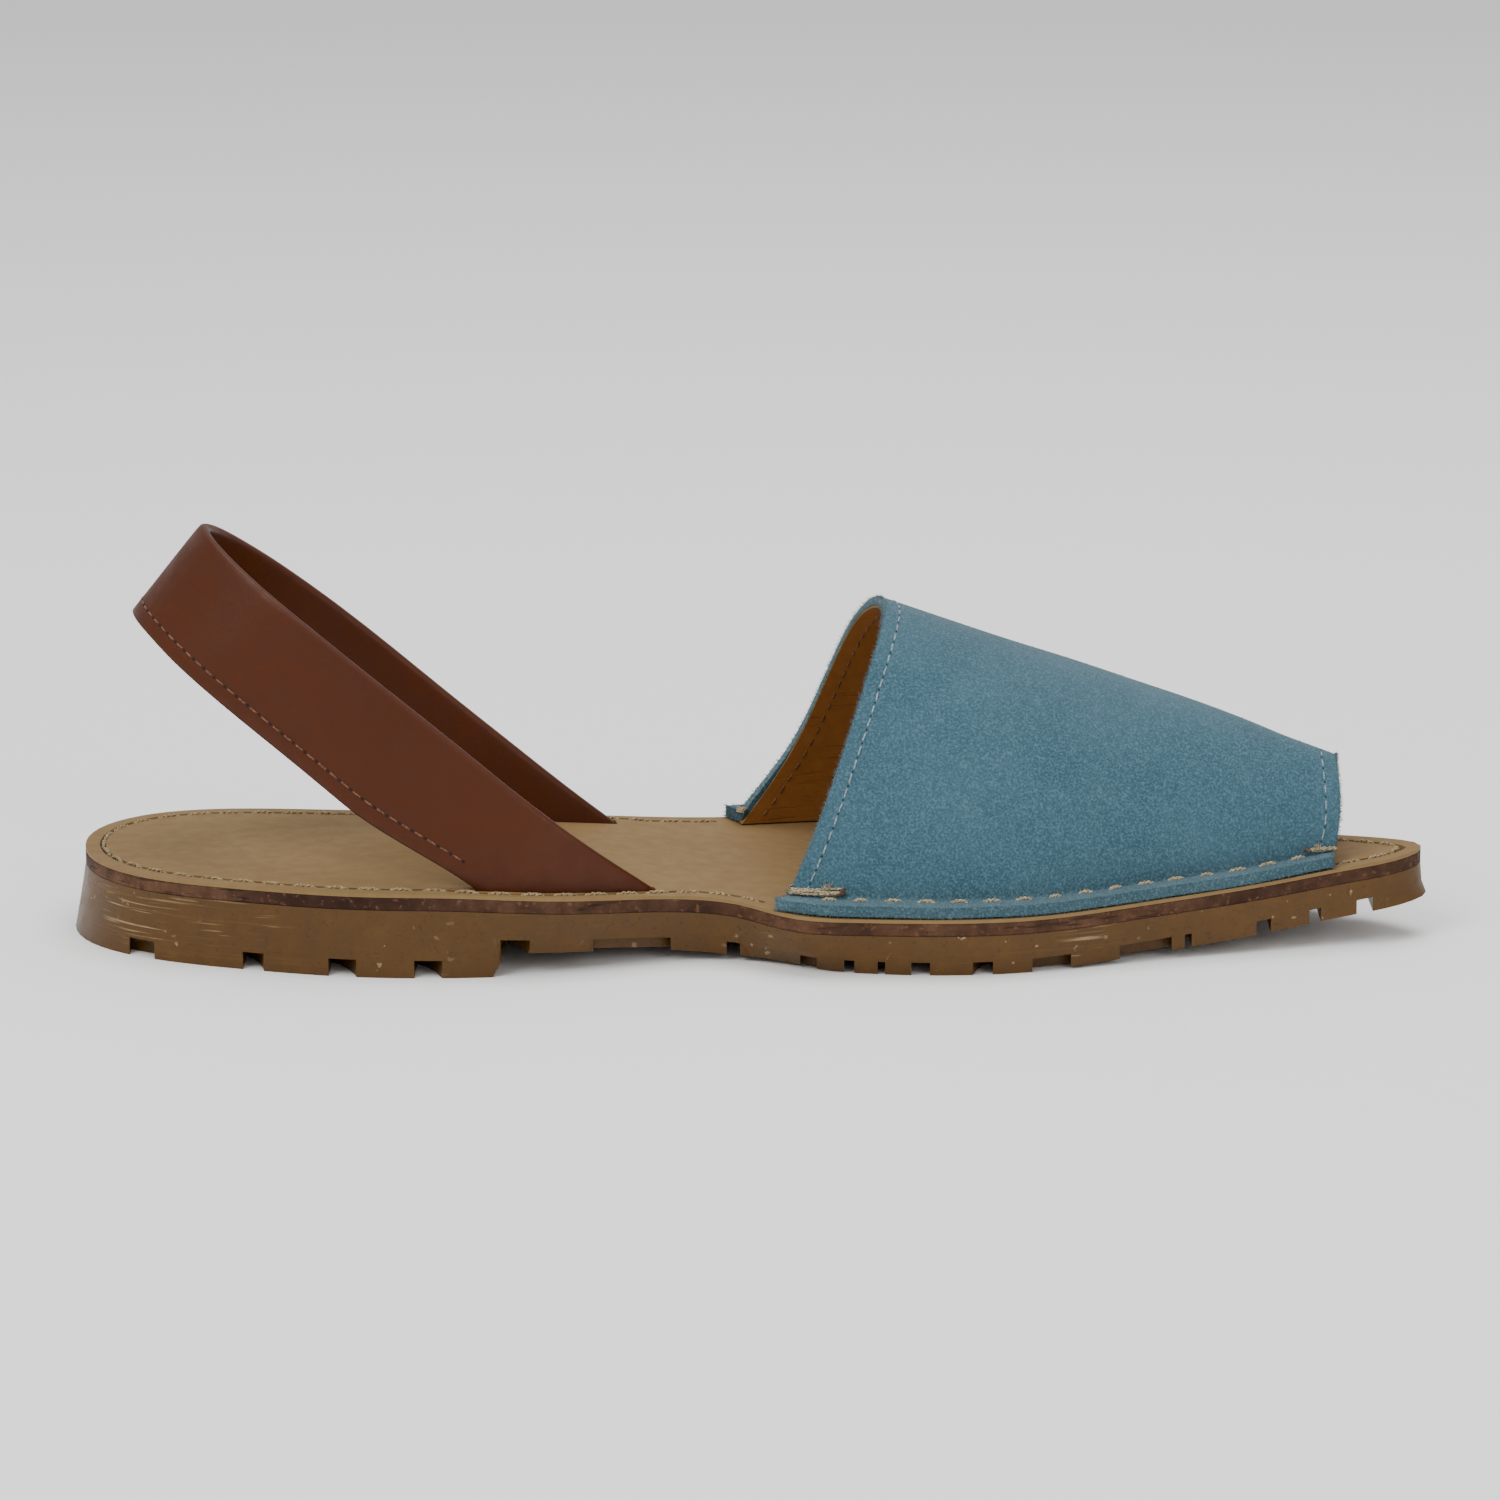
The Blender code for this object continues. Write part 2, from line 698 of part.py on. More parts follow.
VAMP_EDGE_LINES = spline([(math.radians(angle), rear, front) for _, angle, rear, front in VAMP_EDGES], 240, closed=False)


def vamp_x(t, angle):
    """x at a share t from the rear edge to the front edge. The angle is 0 at the outer fold."""
    angles = VAMP_EDGE_LINES[:, 0]
    rear, front = (place(float(np.interp(angle, angles, VAMP_EDGE_LINES[:, i]))) for i in (1, 2))
    return rear + (front - rear) * t


def vamp_inside(t, angle):
    """Point of the vamp's inside face, an arch over the insole."""
    x = vamp_x(t, angle)
    inner, outer = vamp_fold_y(INNER, x) + VAMP_WALL, vamp_fold_y(OUTER, x) - VAMP_WALL
    fullness = VAMP_REAR_FULLNESS + (VAMP_FRONT_FULLNESS - VAMP_REAR_FULLNESS) * t
    y = (inner + outer) / 2 + (outer - inner) / 2 * math.cos(angle) * (1 + fullness * math.sin(angle))
    return (x, y, vamp_base(x) + (vamp_height(x) - VAMP_WALL) * math.sin(angle))


def vamp_flange(t, side, reach):
    """Point under the flange, reach 1 at the board's edge and 0 near the fold."""
    angle = 0.0 if side == OUTER else math.pi
    x = vamp_x(t, angle) - FLANGE_REAR_REACH * reach * (1 - t)
    edge, fold = board_edge.y(side, x), vamp_fold_y(side, x) - side * VAMP_WALL * 0.5
    return (x, fold + (edge - fold) * reach, vamp_base(x))


def make_vamp():
    """The inside face and the flanges' undersides as one sheet, thickened outwards."""
    bm = bmesh.new()
    angles = np.linspace(math.pi, 0, VAMP_COLUMNS)
    rows = []
    for t in np.linspace(0, 1, VAMP_ROWS):
        row = [vamp_flange(t, INNER, reach) for reach in (1.0, 0.45)]
        row += [vamp_inside(t, angle) for angle in angles]
        row += [vamp_flange(t, OUTER, reach) for reach in (0.45, 1.0)]
        rows.append([bm.verts.new(point) for point in row])
    for row, following in zip(rows, rows[1:]):
        for i in range(len(row) - 1):
            bm.faces.new((row[i], row[i + 1], following[i + 1], following[i]))
    vamp = finish_object(bm, "vamp")
    wall = vamp.modifiers.new("wall", "SOLIDIFY")
    wall.thickness = VAMP_WALL
    wall.offset = 1.0
    wall.use_even_offset = True
    wall.use_quality_normals = True
    return vamp


clear_scene()
make_outsole()
make_leathers()
make_strap()
make_vamp()
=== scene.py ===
import math
import random

import bmesh
import bpy
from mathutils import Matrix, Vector, noise
from mathutils.bvhtree import BVHTree


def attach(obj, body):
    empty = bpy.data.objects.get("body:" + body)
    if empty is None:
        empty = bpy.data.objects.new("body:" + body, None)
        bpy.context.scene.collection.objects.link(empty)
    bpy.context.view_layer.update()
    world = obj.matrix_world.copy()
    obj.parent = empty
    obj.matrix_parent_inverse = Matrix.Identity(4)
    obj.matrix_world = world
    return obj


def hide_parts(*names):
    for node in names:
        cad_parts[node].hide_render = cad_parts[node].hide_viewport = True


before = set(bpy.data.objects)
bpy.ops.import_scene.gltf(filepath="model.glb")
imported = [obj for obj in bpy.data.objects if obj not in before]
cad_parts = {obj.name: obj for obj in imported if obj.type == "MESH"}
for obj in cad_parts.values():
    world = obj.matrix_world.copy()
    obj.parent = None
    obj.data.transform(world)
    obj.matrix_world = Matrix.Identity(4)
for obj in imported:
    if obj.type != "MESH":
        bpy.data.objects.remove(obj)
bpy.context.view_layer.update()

# The sandal stands with its toe towards +X and its inner side towards the camera.
# Lengths are metres. Every piece keeps its place in its own mesh.

dice = random.Random(38)
upwards = Vector((0, 0, 1))


# Camera, lights and floor

studio = {
    "cameraPlace": (0.00031, -1.15958, 0.31868),
    "cameraTilt": 76.2,
    "lens": 149.47,
    "floorRadius": 4.5,
    "floorColour": (0.93, 0.93, 0.925, 1),
    "skyColour": (1.0, 1.0, 1.0, 1),
    "skyStrength": 0.62,
    "lights": {
        # name: (place, aimed at, size, watts)
        "windowLeft": ((-0.70, -0.80, 1.10), (0.0, 0.0, 0.03), 0.9, 12.5),
        "overhead": ((0.15, 0.15, 1.35), (0.0, 0.0, 0.0), 1.1, 13.0),
        "frontFill": ((0.75, -1.25, 0.65), (0.03, 0.0, 0.03), 1.0, 6.0),
    },
}


def setStudio():
    camera = bpy.data.objects.new("camera", bpy.data.cameras.new("camera"))
    camera.data.lens = studio["lens"]
    camera.data.sensor_width = 36
    camera.data.clip_start = 0.05
    camera.location = studio["cameraPlace"]
    camera.rotation_euler = (math.radians(studio["cameraTilt"]), 0, 0)
    bpy.context.scene.collection.objects.link(camera)
    bpy.context.scene.camera = camera
    for name, (place, aim, size, watts) in studio["lights"].items():
        lamp = bpy.data.objects.new(name, bpy.data.lights.new(name, "AREA"))
        lamp.data.shape = "DISK"
        lamp.data.size = size
        lamp.data.energy = watts
        lamp.location = place
        lamp.rotation_euler = (Vector(aim) - Vector(place)).to_track_quat("-Z", "Y").to_euler()
        bpy.context.scene.collection.objects.link(lamp)
    world = bpy.data.worlds.new("studioAir")
    world.use_nodes = True
    air = world.node_tree.nodes["Background"]
    air.inputs["Color"].default_value = studio["skyColour"]
    air.inputs["Strength"].default_value = studio["skyStrength"]
    bpy.context.scene.world = world
    print("studio set")


# Hand tools

def putDownAll():
    if bpy.context.object and bpy.context.object.mode != "OBJECT":
        bpy.ops.object.mode_set(mode="OBJECT")
    bpy.ops.object.select_all(action="DESELECT")


def pickUp(piece):
    putDownAll()
    piece.select_set(True)
    bpy.context.view_layer.objects.active = piece


def pickParts(piece, kind, test):      # goes into edit mode with only the parts picked that the test wants
    pickUp(piece)
    bpy.ops.object.mode_set(mode="EDIT")
    bpy.ops.mesh.select_mode(type=kind)
    bpy.ops.mesh.select_all(action="DESELECT")
    shape = bmesh.from_edit_mesh(piece.data)
    shape.normal_update()
    for part in shape.faces if kind == "FACE" else shape.edges:
        if test(part):
            part.select_set(True)
    bmesh.update_edit_mesh(piece.data)


def finishWith(piece, kind, **settings):      # one modifier, applied at once
    pickUp(piece)
    modifier = piece.modifiers.new(kind.lower(), kind)
    for name, value in settings.items():
        setattr(modifier, name, value)
    bpy.ops.object.modifier_apply(modifier=modifier.name)


def smoothUpTo(piece, degrees, settled=False):      # settled: broad flat faces keep their normals beside small bevels
    pickUp(piece)
    bpy.ops.object.shade_smooth_by_angle(angle=math.radians(degrees))
    if settled:
        finishWith(piece, "WEIGHTED_NORMAL", keep_sharp=True, weight=80)


def copyOfNode(nodeName, pieceName, inQuads=True):      # a CAD node's shape as one merged mesh, in quads where it can be
    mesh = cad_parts[nodeName].data.copy()
    mesh.name = pieceName
    mesh.materials.clear()
    piece = bpy.data.objects.new(pieceName, mesh)
    bpy.context.scene.collection.objects.link(piece)
    pickUp(piece)
    bpy.ops.object.mode_set(mode="EDIT")
    bpy.ops.mesh.select_all(action="SELECT")
    bpy.ops.mesh.remove_doubles(threshold=0.000003)
    if inQuads:
        bpy.ops.mesh.tris_convert_to_quads(face_threshold=math.radians(60), shape_threshold=math.radians(150))
    bpy.ops.object.mode_set(mode="OBJECT")
    return piece


def meshPiece(shape, name):      # hands a finished mesh over as an object
    bmesh.ops.recalc_face_normals(shape, faces=shape.faces)
    mesh = bpy.data.meshes.new(name)
    shape.to_mesh(mesh)
    shape.free()
    piece = bpy.data.objects.new(name, mesh)
    bpy.context.scene.collection.objects.link(piece)
    for face in mesh.polygons:
        face.use_smooth = True
    return piece


def shapeOf(piece):
    shape = bmesh.new()
    shape.from_mesh(piece.data)
    shape.normal_update()
    return shape


def surfaceOf(piece, test=lambda face: True):      # for finding the nearest place on some of its faces
    shape = shapeOf(piece)
    bmesh.ops.delete(shape, geom=[face for face in shape.faces if not test(face)], context="FACES")
    surface = BVHTree.FromBMesh(shape)
    shape.free()
    return surface


def turnsOut(edge):      # true on a corner that stands out, false in a hollow
    first, second = edge.link_faces
    return (second.calc_center_median() - first.calc_center_median()).dot(first.normal) < 0


def runLength(run):
    return sum((after - before).length for before, after in zip(run, run[1:]))


def edgeRuns(shape, wanted):      # ordered runs of points along the wanted edges, the longest first
    joined = {}
    for edge in shape.edges:
        if wanted(edge):
            for corner, other in (edge.verts, reversed(edge.verts)):
                joined.setdefault(corner, []).append(other)
    runs = []
    while joined:
        corner = next((c for c in joined if len(joined[c]) == 1), next(iter(joined)))
        run = [corner.co.copy()]
        while joined.get(corner):
            other = joined[corner].pop()
            joined[other].remove(corner)
            run.append(other.co.copy())
            corner = other
        joined = {c: others for c, others in joined.items() if others}
        runs.append(run)
    return sorted(runs, key=runLength, reverse=True)


def evenly(run, pitch):      # the same run with its points a pitch apart
    marks = [0.0]
    for before, after in zip(run, run[1:]):
        marks.append(marks[-1] + (after - before).length)
    count = max(2, round(marks[-1] / pitch))
    points, at = [], 0
    for i in range(count + 1):
        distance = marks[-1] * i / count
        while at < len(run) - 2 and marks[at + 1] < distance:
            at += 1
        share = (distance - marks[at]) / max(marks[at + 1] - marks[at], 1e-9)
        points.append(run[at].lerp(run[at + 1], min(share, 1.0)))
    return points


def insetLine(run, inset, towards, surface):      # the run moved in from its edge, with the surface's normals
    line = []
    for i, point in enumerate(run):
        lead = (run[min(i + 1, len(run) - 1)] - run[max(i - 1, 0)]).normalized()
        wanted = towards(point)
        amount = inset(point) if callable(inset) else inset
        normal = surface.find_nearest(point + wanted * amount * 0.5)[1]
        side = normal.cross(lead).normalized()
        if side.dot(wanted) < 0:
            side.negate()
        place, normal = surface.find_nearest(point + side * amount)[:2]
        line.append((place, normal))
    return line


def respaced(line, pitch, surface):
    return [surface.find_nearest(point)[:2] for point in evenly([place for place, _ in line], pitch)]


def seamLine(run, inset, towards, surface, plan, cutOff):      # a seam's places along an edge, without its first and last steps
    line = insetLine(evenly(run, 0.0014), inset, lambda point: towards, surface)
    return respaced(line[cutOff:-cutOff], plan["pitch"], surface)


def addTube(shape, centres, radii, sides, up):
    rings = []
    for i, centre in enumerate(centres):
        lead = (centres[min(i + 1, len(centres) - 1)] - centres[max(i - 1, 0)]).normalized()
        across = lead.cross(up).normalized()
        over = across.cross(lead)
        angles = [math.tau * k / sides for k in range(sides)]
        rings.append([shape.verts.new(centre + (across * math.cos(a) + over * math.sin(a)) * radii[i]) for a in angles])
    for ring, following in zip(rings, rings[1:]):
        for k in range(sides):
            shape.faces.new((ring[k], ring[(k + 1) % sides], following[(k + 1) % sides], following[k]))
    shape.faces.new(rings[0][::-1])
    shape.faces.new(rings[-1])


def addStitch(shape, start, end, up, plan):      # one stitch, plied from strands, with its ends down in their holes
    up = up.normalized()
    lead = (end - start).normalized()
    across = lead.cross(up).normalized()
    turnedBy = dice.uniform(0, math.tau)
    swell = dice.uniform(0.9, 1.1)
    for strand in range(plan["plies"]):
        centres, radii = [], []
        for step in range(plan["steps"] + 1):
            share = step / plan["steps"]
            arch = min(1.0, 4.5 * share * (1 - share)) ** 0.6
            turn = turnedBy + plan["turns"] * math.tau * share + math.tau * strand / plan["plies"]
            rise = plan["height"] * arch * swell - plan["sink"] * (1 - arch)
            spread = plan["spread"] * (across * math.cos(turn) + up * math.sin(turn))
            centres.append(start.lerp(end, share) + up * rise + spread)
            radii.append(plan["radius"] * swell * (0.75 + 0.25 * arch))
        addTube(shape, centres, radii, plan["sides"], up)


def sew(shape, line, plan):      # stitches from each place of the line to the next
    for (before, normalBefore), (after, normalAfter) in zip(line, line[1:]):
        up = (normalBefore + normalAfter).normalized()
        across = (after - before).cross(up).normalized() * dice.uniform(-1, 1) * plan["wander"]
        gap = plan["gap"] * dice.uniform(0.8, 1.2)
        addStitch(shape, before.lerp(after, gap) + across, before.lerp(after, 1 - gap) - across, up, plan)


def addHoleShade(shape, place, normal, radius):      # a dark disc lying just on the leather: painted shade standing for an awl hole
    side = normal.orthogonal().normalized()
    other = normal.cross(side)
    rim = [shape.verts.new(place + normal * 0.00004 + (side * math.cos(a) + other * math.sin(a)) * radius)
           for a in (math.tau * k / 7 for k in range(7))]
    middle = shape.verts.new(place + normal * 0.00007)
    for k in range(7):
        shape.faces.new((middle, rim[k], rim[(k + 1) % 7]))


def riseAndFall(piece, forms, roughAmount, roughScale):      # soft troughs and ridges, placed one by one
    normals = [vertex.normal.copy() for vertex in piece.data.vertices]
    for vertex, normal in zip(piece.data.vertices, normals):
        lift = noise.noise(vertex.co * roughScale) * roughAmount
        for place, along, length, width, height in forms:
            apart = vertex.co - Vector(place)
            if apart.length > 2.6 * max(length, width):
                continue
            direction = Vector(along).normalized()
            down = apart.dot(direction)
            aside = (apart - direction * down).length
            lift += height * math.exp(-((down / length) ** 2) - (aside / width) ** 2)
        vertex.co += normal * lift


def bevelEdges(piece, width, fromDegrees):
    finishWith(piece, "BEVEL", width=width, segments=2, limit_method="ANGLE", angle_limit=math.radians(fromDegrees),
               use_clamp_overlap=True)


def paint(piece, *materials):
    for material in materials:
        piece.data.materials.append(material)


def creaseLayer(shape):
    return shape.edges.layers.float.get("crease_edge") or shape.edges.layers.float.new("crease_edge")


def dress(piece, nodeNames=()):      # rides on the sandal and stands for its solids
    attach(piece, "root")
    if nodeNames:
        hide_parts(*nodeNames)


def handOver(slotName, *finished):      # threads, discs of painted hole shade and fibres become pieces, each with its name and material
    for shape, name, material in finished:
        piece = meshPiece(shape, name)
        paint(piece, material)
        dress(piece)


# Materials

def colour(code):      # a screen colour such as "6b4a2a" as scene light
    parts = [int(code[i:i + 2], 16) / 255 for i in (0, 2, 4)]
    return [p / 12.92 if p <= 0.04045 else ((p + 0.055) / 1.055) ** 2.4 for p in parts] + [1.0]


def addNode(tree, kind, inputs=None, **settings):
    node = tree.nodes.new(kind)
    for name, value in settings.items():
        setattr(node, name, value)
    for name, value in (inputs or {}).items():
        socket = node.inputs[name]
        if isinstance(value, bpy.types.NodeSocket):
            tree.links.new(value, socket)
        else:
            socket.default_value = value
    return node


def mixColours(tree, share, first, second, way="MIX"):
    node = addNode(tree, "ShaderNodeMix", {0: share, 6: first, 7: second}, data_type="RGBA", blend_type=way)
    return node.outputs[2]


def calculate(tree, way, first, second=0.0):
    return addNode(tree, "ShaderNodeMath", {0: first, 1: second}, operation=way).outputs[0]


def stretchRange(tree, value, low, high, toLow=0.0, toHigh=1.0):
    inputs = {"Value": value, "From Min": low, "From Max": high, "To Min": toLow, "To Max": toHigh}
    return addNode(tree, "ShaderNodeMapRange", inputs).outputs["Result"]


def shadeBy(tree, shade, target, value, low, high, toLow, toHigh):      # as much of the target as the value asks for
    return mixColours(tree, stretchRange(tree, value, low, high, toLow, toHigh), shade, target)


def newGroup(name, inputs, outputs):
    group = bpy.data.node_groups.new(name, "ShaderNodeTree")
    for socketName, kind, value in inputs:
        socket = group.interface.new_socket(socketName, in_out="INPUT", socket_type=kind)
        if value is not None:
            socket.default_value = value
    for socketName, kind in outputs:
        group.interface.new_socket(socketName, in_out="OUTPUT", socket_type=kind)
    return group, group.nodes.new("NodeGroupInput").outputs, group.nodes.new("NodeGroupOutput").inputs


def makePatches():      # soft uneven patches of any size
    inputs = [("Place", "NodeSocketVector", None), ("Per Metre", "NodeSocketFloat", 100.0),
              ("From", "NodeSocketFloat", 0.4), ("To", "NodeSocketFloat", 0.6)]
    group, given, result = newGroup("patches", inputs, [("Mask", "NodeSocketFloat")])
    cloud = addNode(group, "ShaderNodeTexNoise", {"Vector": given["Place"], "Scale": given["Per Metre"], "Detail": 3.0})
    group.links.new(stretchRange(group, cloud.outputs["Fac"], given["From"], given["To"]), result["Mask"])
    return group


def makeGrain():      # leather grain: fine pebbles with pores between them
    inputs = [("Place", "NodeSocketVector", None), ("Per Metre", "NodeSocketFloat", 2200.0),
              ("Pores", "NodeSocketFloat", 0.5)]
    group, given, result = newGroup("leatherGrain", inputs, [("Height", "NodeSocketFloat")])
    wobble = addNode(group, "ShaderNodeTexNoise", {"Vector": given["Place"], "Scale": 700.0, "Detail": 2.0})
    bent = addNode(group, "ShaderNodeVectorMath", {0: wobble.outputs["Color"], 1: (0.0009, 0.0009, 0.0009)}, operation="MULTIPLY")
    moved = addNode(group, "ShaderNodeVectorMath", {0: given["Place"], 1: bent.outputs[0]}, operation="ADD")
    pebbles = addNode(group, "ShaderNodeTexVoronoi", {"Vector": moved.outputs[0], "Scale": given["Per Metre"]}, feature="SMOOTH_F1")
    pores = stretchRange(group, pebbles.outputs["Distance"], 0.0, 0.35)
    fine = addNode(group, "ShaderNodeTexNoise", {"Vector": given["Place"], "Scale": calculate(group, "MULTIPLY", given["Per Metre"], 0.45), "Detail": 4.0})
    deep = calculate(group, "MULTIPLY", pores, given["Pores"])
    group.links.new(calculate(group, "ADD", deep, fine.outputs["Fac"]), result["Height"])
    return group


def makeScratches():      # fine lines along X, in patches
    inputs = [("Place", "NodeSocketVector", None), ("Across Per Metre", "NodeSocketFloat", 1500.0),
              ("Along Per Metre", "NodeSocketFloat", 45.0), ("Amount", "NodeSocketFloat", 0.3)]
    group, given, result = newGroup("scratches", inputs, [("Mask", "NodeSocketFloat")])
    parts = addNode(group, "ShaderNodeSeparateXYZ", {0: given["Place"]}).outputs
    along = calculate(group, "MULTIPLY", parts["X"], given["Along Per Metre"])
    deep = calculate(group, "MULTIPLY", parts["Y"], given["Along Per Metre"])
    across = calculate(group, "MULTIPLY", parts["Z"], given["Across Per Metre"])
    drawn = addNode(group, "ShaderNodeCombineXYZ", {"X": along, "Y": deep, "Z": across}).outputs[0]
    lines = addNode(group, "ShaderNodeTexNoise", {"Vector": drawn, "Scale": 1.0, "Detail": 2.0, "Distortion": 0.25})
    where = addNode(group, "ShaderNodeTexNoise", {"Vector": given["Place"], "Scale": 42.0, "Detail": 2.0})
    limit = calculate(group, "SUBTRACT", 1.0, given["Amount"])
    line = stretchRange(group, lines.outputs["Fac"], 0.60, 0.68)
    patch = stretchRange(group, where.outputs["Fac"], limit, calculate(group, "ADD", limit, 0.12))
    group.links.new(calculate(group, "MULTIPLY", line, patch), result["Mask"])
    return group


patches = makePatches()
leatherGrain = makeGrain()
scratches = makeScratches()


def useGroup(tree, group, inputs):
    node = tree.nodes.new("ShaderNodeGroup")
    node.node_tree = group
    for name, value in inputs.items():
        if isinstance(value, bpy.types.NodeSocket):
            tree.links.new(value, node.inputs[name])
        else:
            node.inputs[name].default_value = value
    return node.outputs[0]


def newMaterial(name, **settings):      # the shader's own fixed values are given by socket name
    material = bpy.data.materials.new(name)
    material.use_nodes = True
    tree = material.node_tree
    tree.nodes.clear()
    shader = addNode(tree, "ShaderNodeBsdfPrincipled", settings)
    addNode(tree, "ShaderNodeOutputMaterial", {"Surface": shader.outputs[0]})
    place = addNode(tree, "ShaderNodeTexCoord").outputs["Object"]
    return material, tree, shader.inputs, place


def addBump(tree, sockets, height, depth, strength=1.0):
    bump = addNode(tree, "ShaderNodeBump", {"Height": height, "Strength": strength, "Distance": depth})
    tree.links.new(bump.outputs[0], sockets["Normal"])


suedeLook = {
    "body": "3a5966", "pale": "628290", "dark": "213c47", "cut": "4a6a74", "cutPale": "93a3a2",
    "foot": "395661", "footPale": "6d8890", "speckPerMetre": 2300.0, "patchPerMetre": 75.0, "nap": 0.00022,
}


def makeSuede(name, cutEdge=False):
    material, tree, sockets, place = newMaterial(name, **{"Sheen Weight": 0.12, "Sheen Roughness": 0.5, "Specular IOR Level": 0.12})
    speck = suedeLook["speckPerMetre"]
    foot = addNode(tree, "ShaderNodeAttribute", attribute_name="footMask").outputs["Fac"]
    body = mixColours(tree, foot, colour(suedeLook["cut" if cutEdge else "body"]), colour(suedeLook["foot"]))
    pale = mixColours(tree, foot, colour(suedeLook["cutPale" if cutEdge else "pale"]), colour(suedeLook["footPale"]))
    fibres = addNode(tree, "ShaderNodeTexNoise", {"Vector": place, "Scale": speck, "Detail": 3.0, "Roughness": 0.6})
    fine = addNode(tree, "ShaderNodeTexNoise", {"Vector": place, "Scale": speck * 2.3, "Detail": 2.0})
    brushed = useGroup(tree, patches, {"Place": place, "Per Metre": suedeLook["patchPerMetre"], "From": 0.30, "To": 0.72})
    mottled = useGroup(tree, patches, {"Place": place, "Per Metre": 520.0, "From": 0.38, "To": 0.62})
    shade = shadeBy(tree, body, colour(suedeLook["dark"]), fibres.outputs["Fac"], 0.50, 0.34, 0.0, 0.50)
    shade = shadeBy(tree, shade, pale, fibres.outputs["Fac"], 0.50, 0.66, 0.0, 0.50)
    shade = shadeBy(tree, shade, pale, brushed, 0.0, 1.0, 0.0, 0.14)
    shade = shadeBy(tree, shade, colour(suedeLook["dark"]), mottled, 0.0, 1.0, 0.12, 0.0)
    tree.links.new(shade, sockets["Base Color"])
    tree.links.new(stretchRange(tree, fine.outputs["Fac"], 0.3, 0.7, 0.88, 1.0), sockets["Roughness"])
    nap = calculate(tree, "ADD", fibres.outputs["Fac"], calculate(tree, "MULTIPLY", fine.outputs["Fac"], 0.6))
    addBump(tree, sockets, nap, suedeLook["nap"] * (2.2 if cutEdge else 1.0), 0.8)
    return material


leatherLooks = {
    # body, pale, dark, roughness, gloss, grains per metre, grain depth, patch share, fine lines
    "insoleLeather": ("7d643f", "8d724d", "644c2b", 0.60, 0.22, 2600.0, 0.00003, 0.30, 0.0),
    # the groove's colours are darker than the insole's: painted shade in the sewn channel
    "grooveShadeLeather": ("5c4628", "76603e", "3c2c16", 0.85, 0.15, 1500.0, 0.00008, 0.40, 0.0),
    "strapLeather": ("441d05", "58280a", "2c1002", 0.42, 0.22, 2400.0, 0.00003, 0.30, 0.0),
    "strapCutEdge": ("331b0a", "4f3014", "1a0d05", 0.75, 0.15, 1500.0, 0.00010, 0.50, 0.4),
    # the lining's fine lines are creases, drawn darker: painted shade
    "liningLeather": ("8f5c2a", "a06c38", "643a12", 0.50, 0.28, 2200.0, 0.00004, 0.30, 0.25),
    "liningCutEdge": ("75603f", "8f7a56", "553f22", 0.85, 0.15, 1500.0, 0.00010, 0.50, 0.0),
    "boardLeather": ("33190c", "6b4a33", "190c05", 0.70, 0.20, 1300.0, 0.00018, 0.75, 0.60),
}


def makeLeather(name):
    body, pale, dark, rough, gloss, grains, depth, patchShare, lineShare = leatherLooks[name]
    material, tree, sockets, place = newMaterial(name, **{"Specular IOR Level": gloss})
    wide = useGroup(tree, patches, {"Place": place, "Per Metre": 38.0, "From": 0.32, "To": 0.70})
    close = useGroup(tree, patches, {"Place": place, "Per Metre": 330.0, "From": 0.35, "To": 0.70})
    grain = useGroup(tree, leatherGrain, {"Place": place, "Per Metre": grains, "Pores": 0.5})
    shade = shadeBy(tree, colour(body), colour(pale), wide, 0.0, 1.0, 0.0, patchShare)
    shade = shadeBy(tree, shade, colour(dark), close, 0.0, 1.0, patchShare * 0.7, 0.0)
    shade = shadeBy(tree, shade, colour(dark), grain, 0.35, 0.65, patchShare * 0.8, 0.0)
    height = grain
    if lineShare:
        lines = useGroup(tree, scratches, {"Place": place, "Across Per Metre": 1500.0, "Along Per Metre": 120.0, "Amount": 0.55})
        specks = useGroup(tree, patches, {"Place": place, "Per Metre": 900.0, "From": 0.58, "To": 0.70})
        # the fine lines are drawn darker; on the lining, where they are creases, this darkness is painted shade
        shade = mixColours(tree, calculate(tree, "MULTIPLY", lines, lineShare), shade, colour(dark))
        shade = mixColours(tree, calculate(tree, "MULTIPLY", specks, lineShare), shade, colour(pale))
        height = calculate(tree, "SUBTRACT", grain, lines)
    tree.links.new(shade, sockets["Base Color"])
    tree.links.new(stretchRange(tree, close, 0.0, 1.0, rough + 0.06, rough - 0.05), sockets["Roughness"])
    addBump(tree, sockets, height, depth)
    return material


threadLooks = {
    # body, dark, roughness
    "waxedThread": ("a8936a", "65502f", 0.80),
    "creamThread": ("b9ab8c", "77684a", 0.85),
    "paleThread": ("9fa9ac", "5e6c72", 0.75),
    "brownThread": ("7a4c28", "3c200c", 0.6),
}


def makeThread(name):
    body, dark, rough = threadLooks[name]
    material, tree, sockets, place = newMaterial(name, **{"Sheen Weight": 0.15})
    strands = useGroup(tree, patches, {"Place": place, "Per Metre": 2600.0, "From": 0.36, "To": 0.62})
    tree.links.new(mixColours(tree, strands, colour(dark), colour(body)), sockets["Base Color"])
    tree.links.new(stretchRange(tree, strands, 0.0, 1.0, rough + 0.1, rough), sockets["Roughness"])
    addBump(tree, sockets, strands, 0.0001)
    return material


rubberLook = {
    "body": "50340c", "pale": "68481a", "dark": "372205", "scratch": "a89068",
    "pitsPerMetre": 1400.0,
}


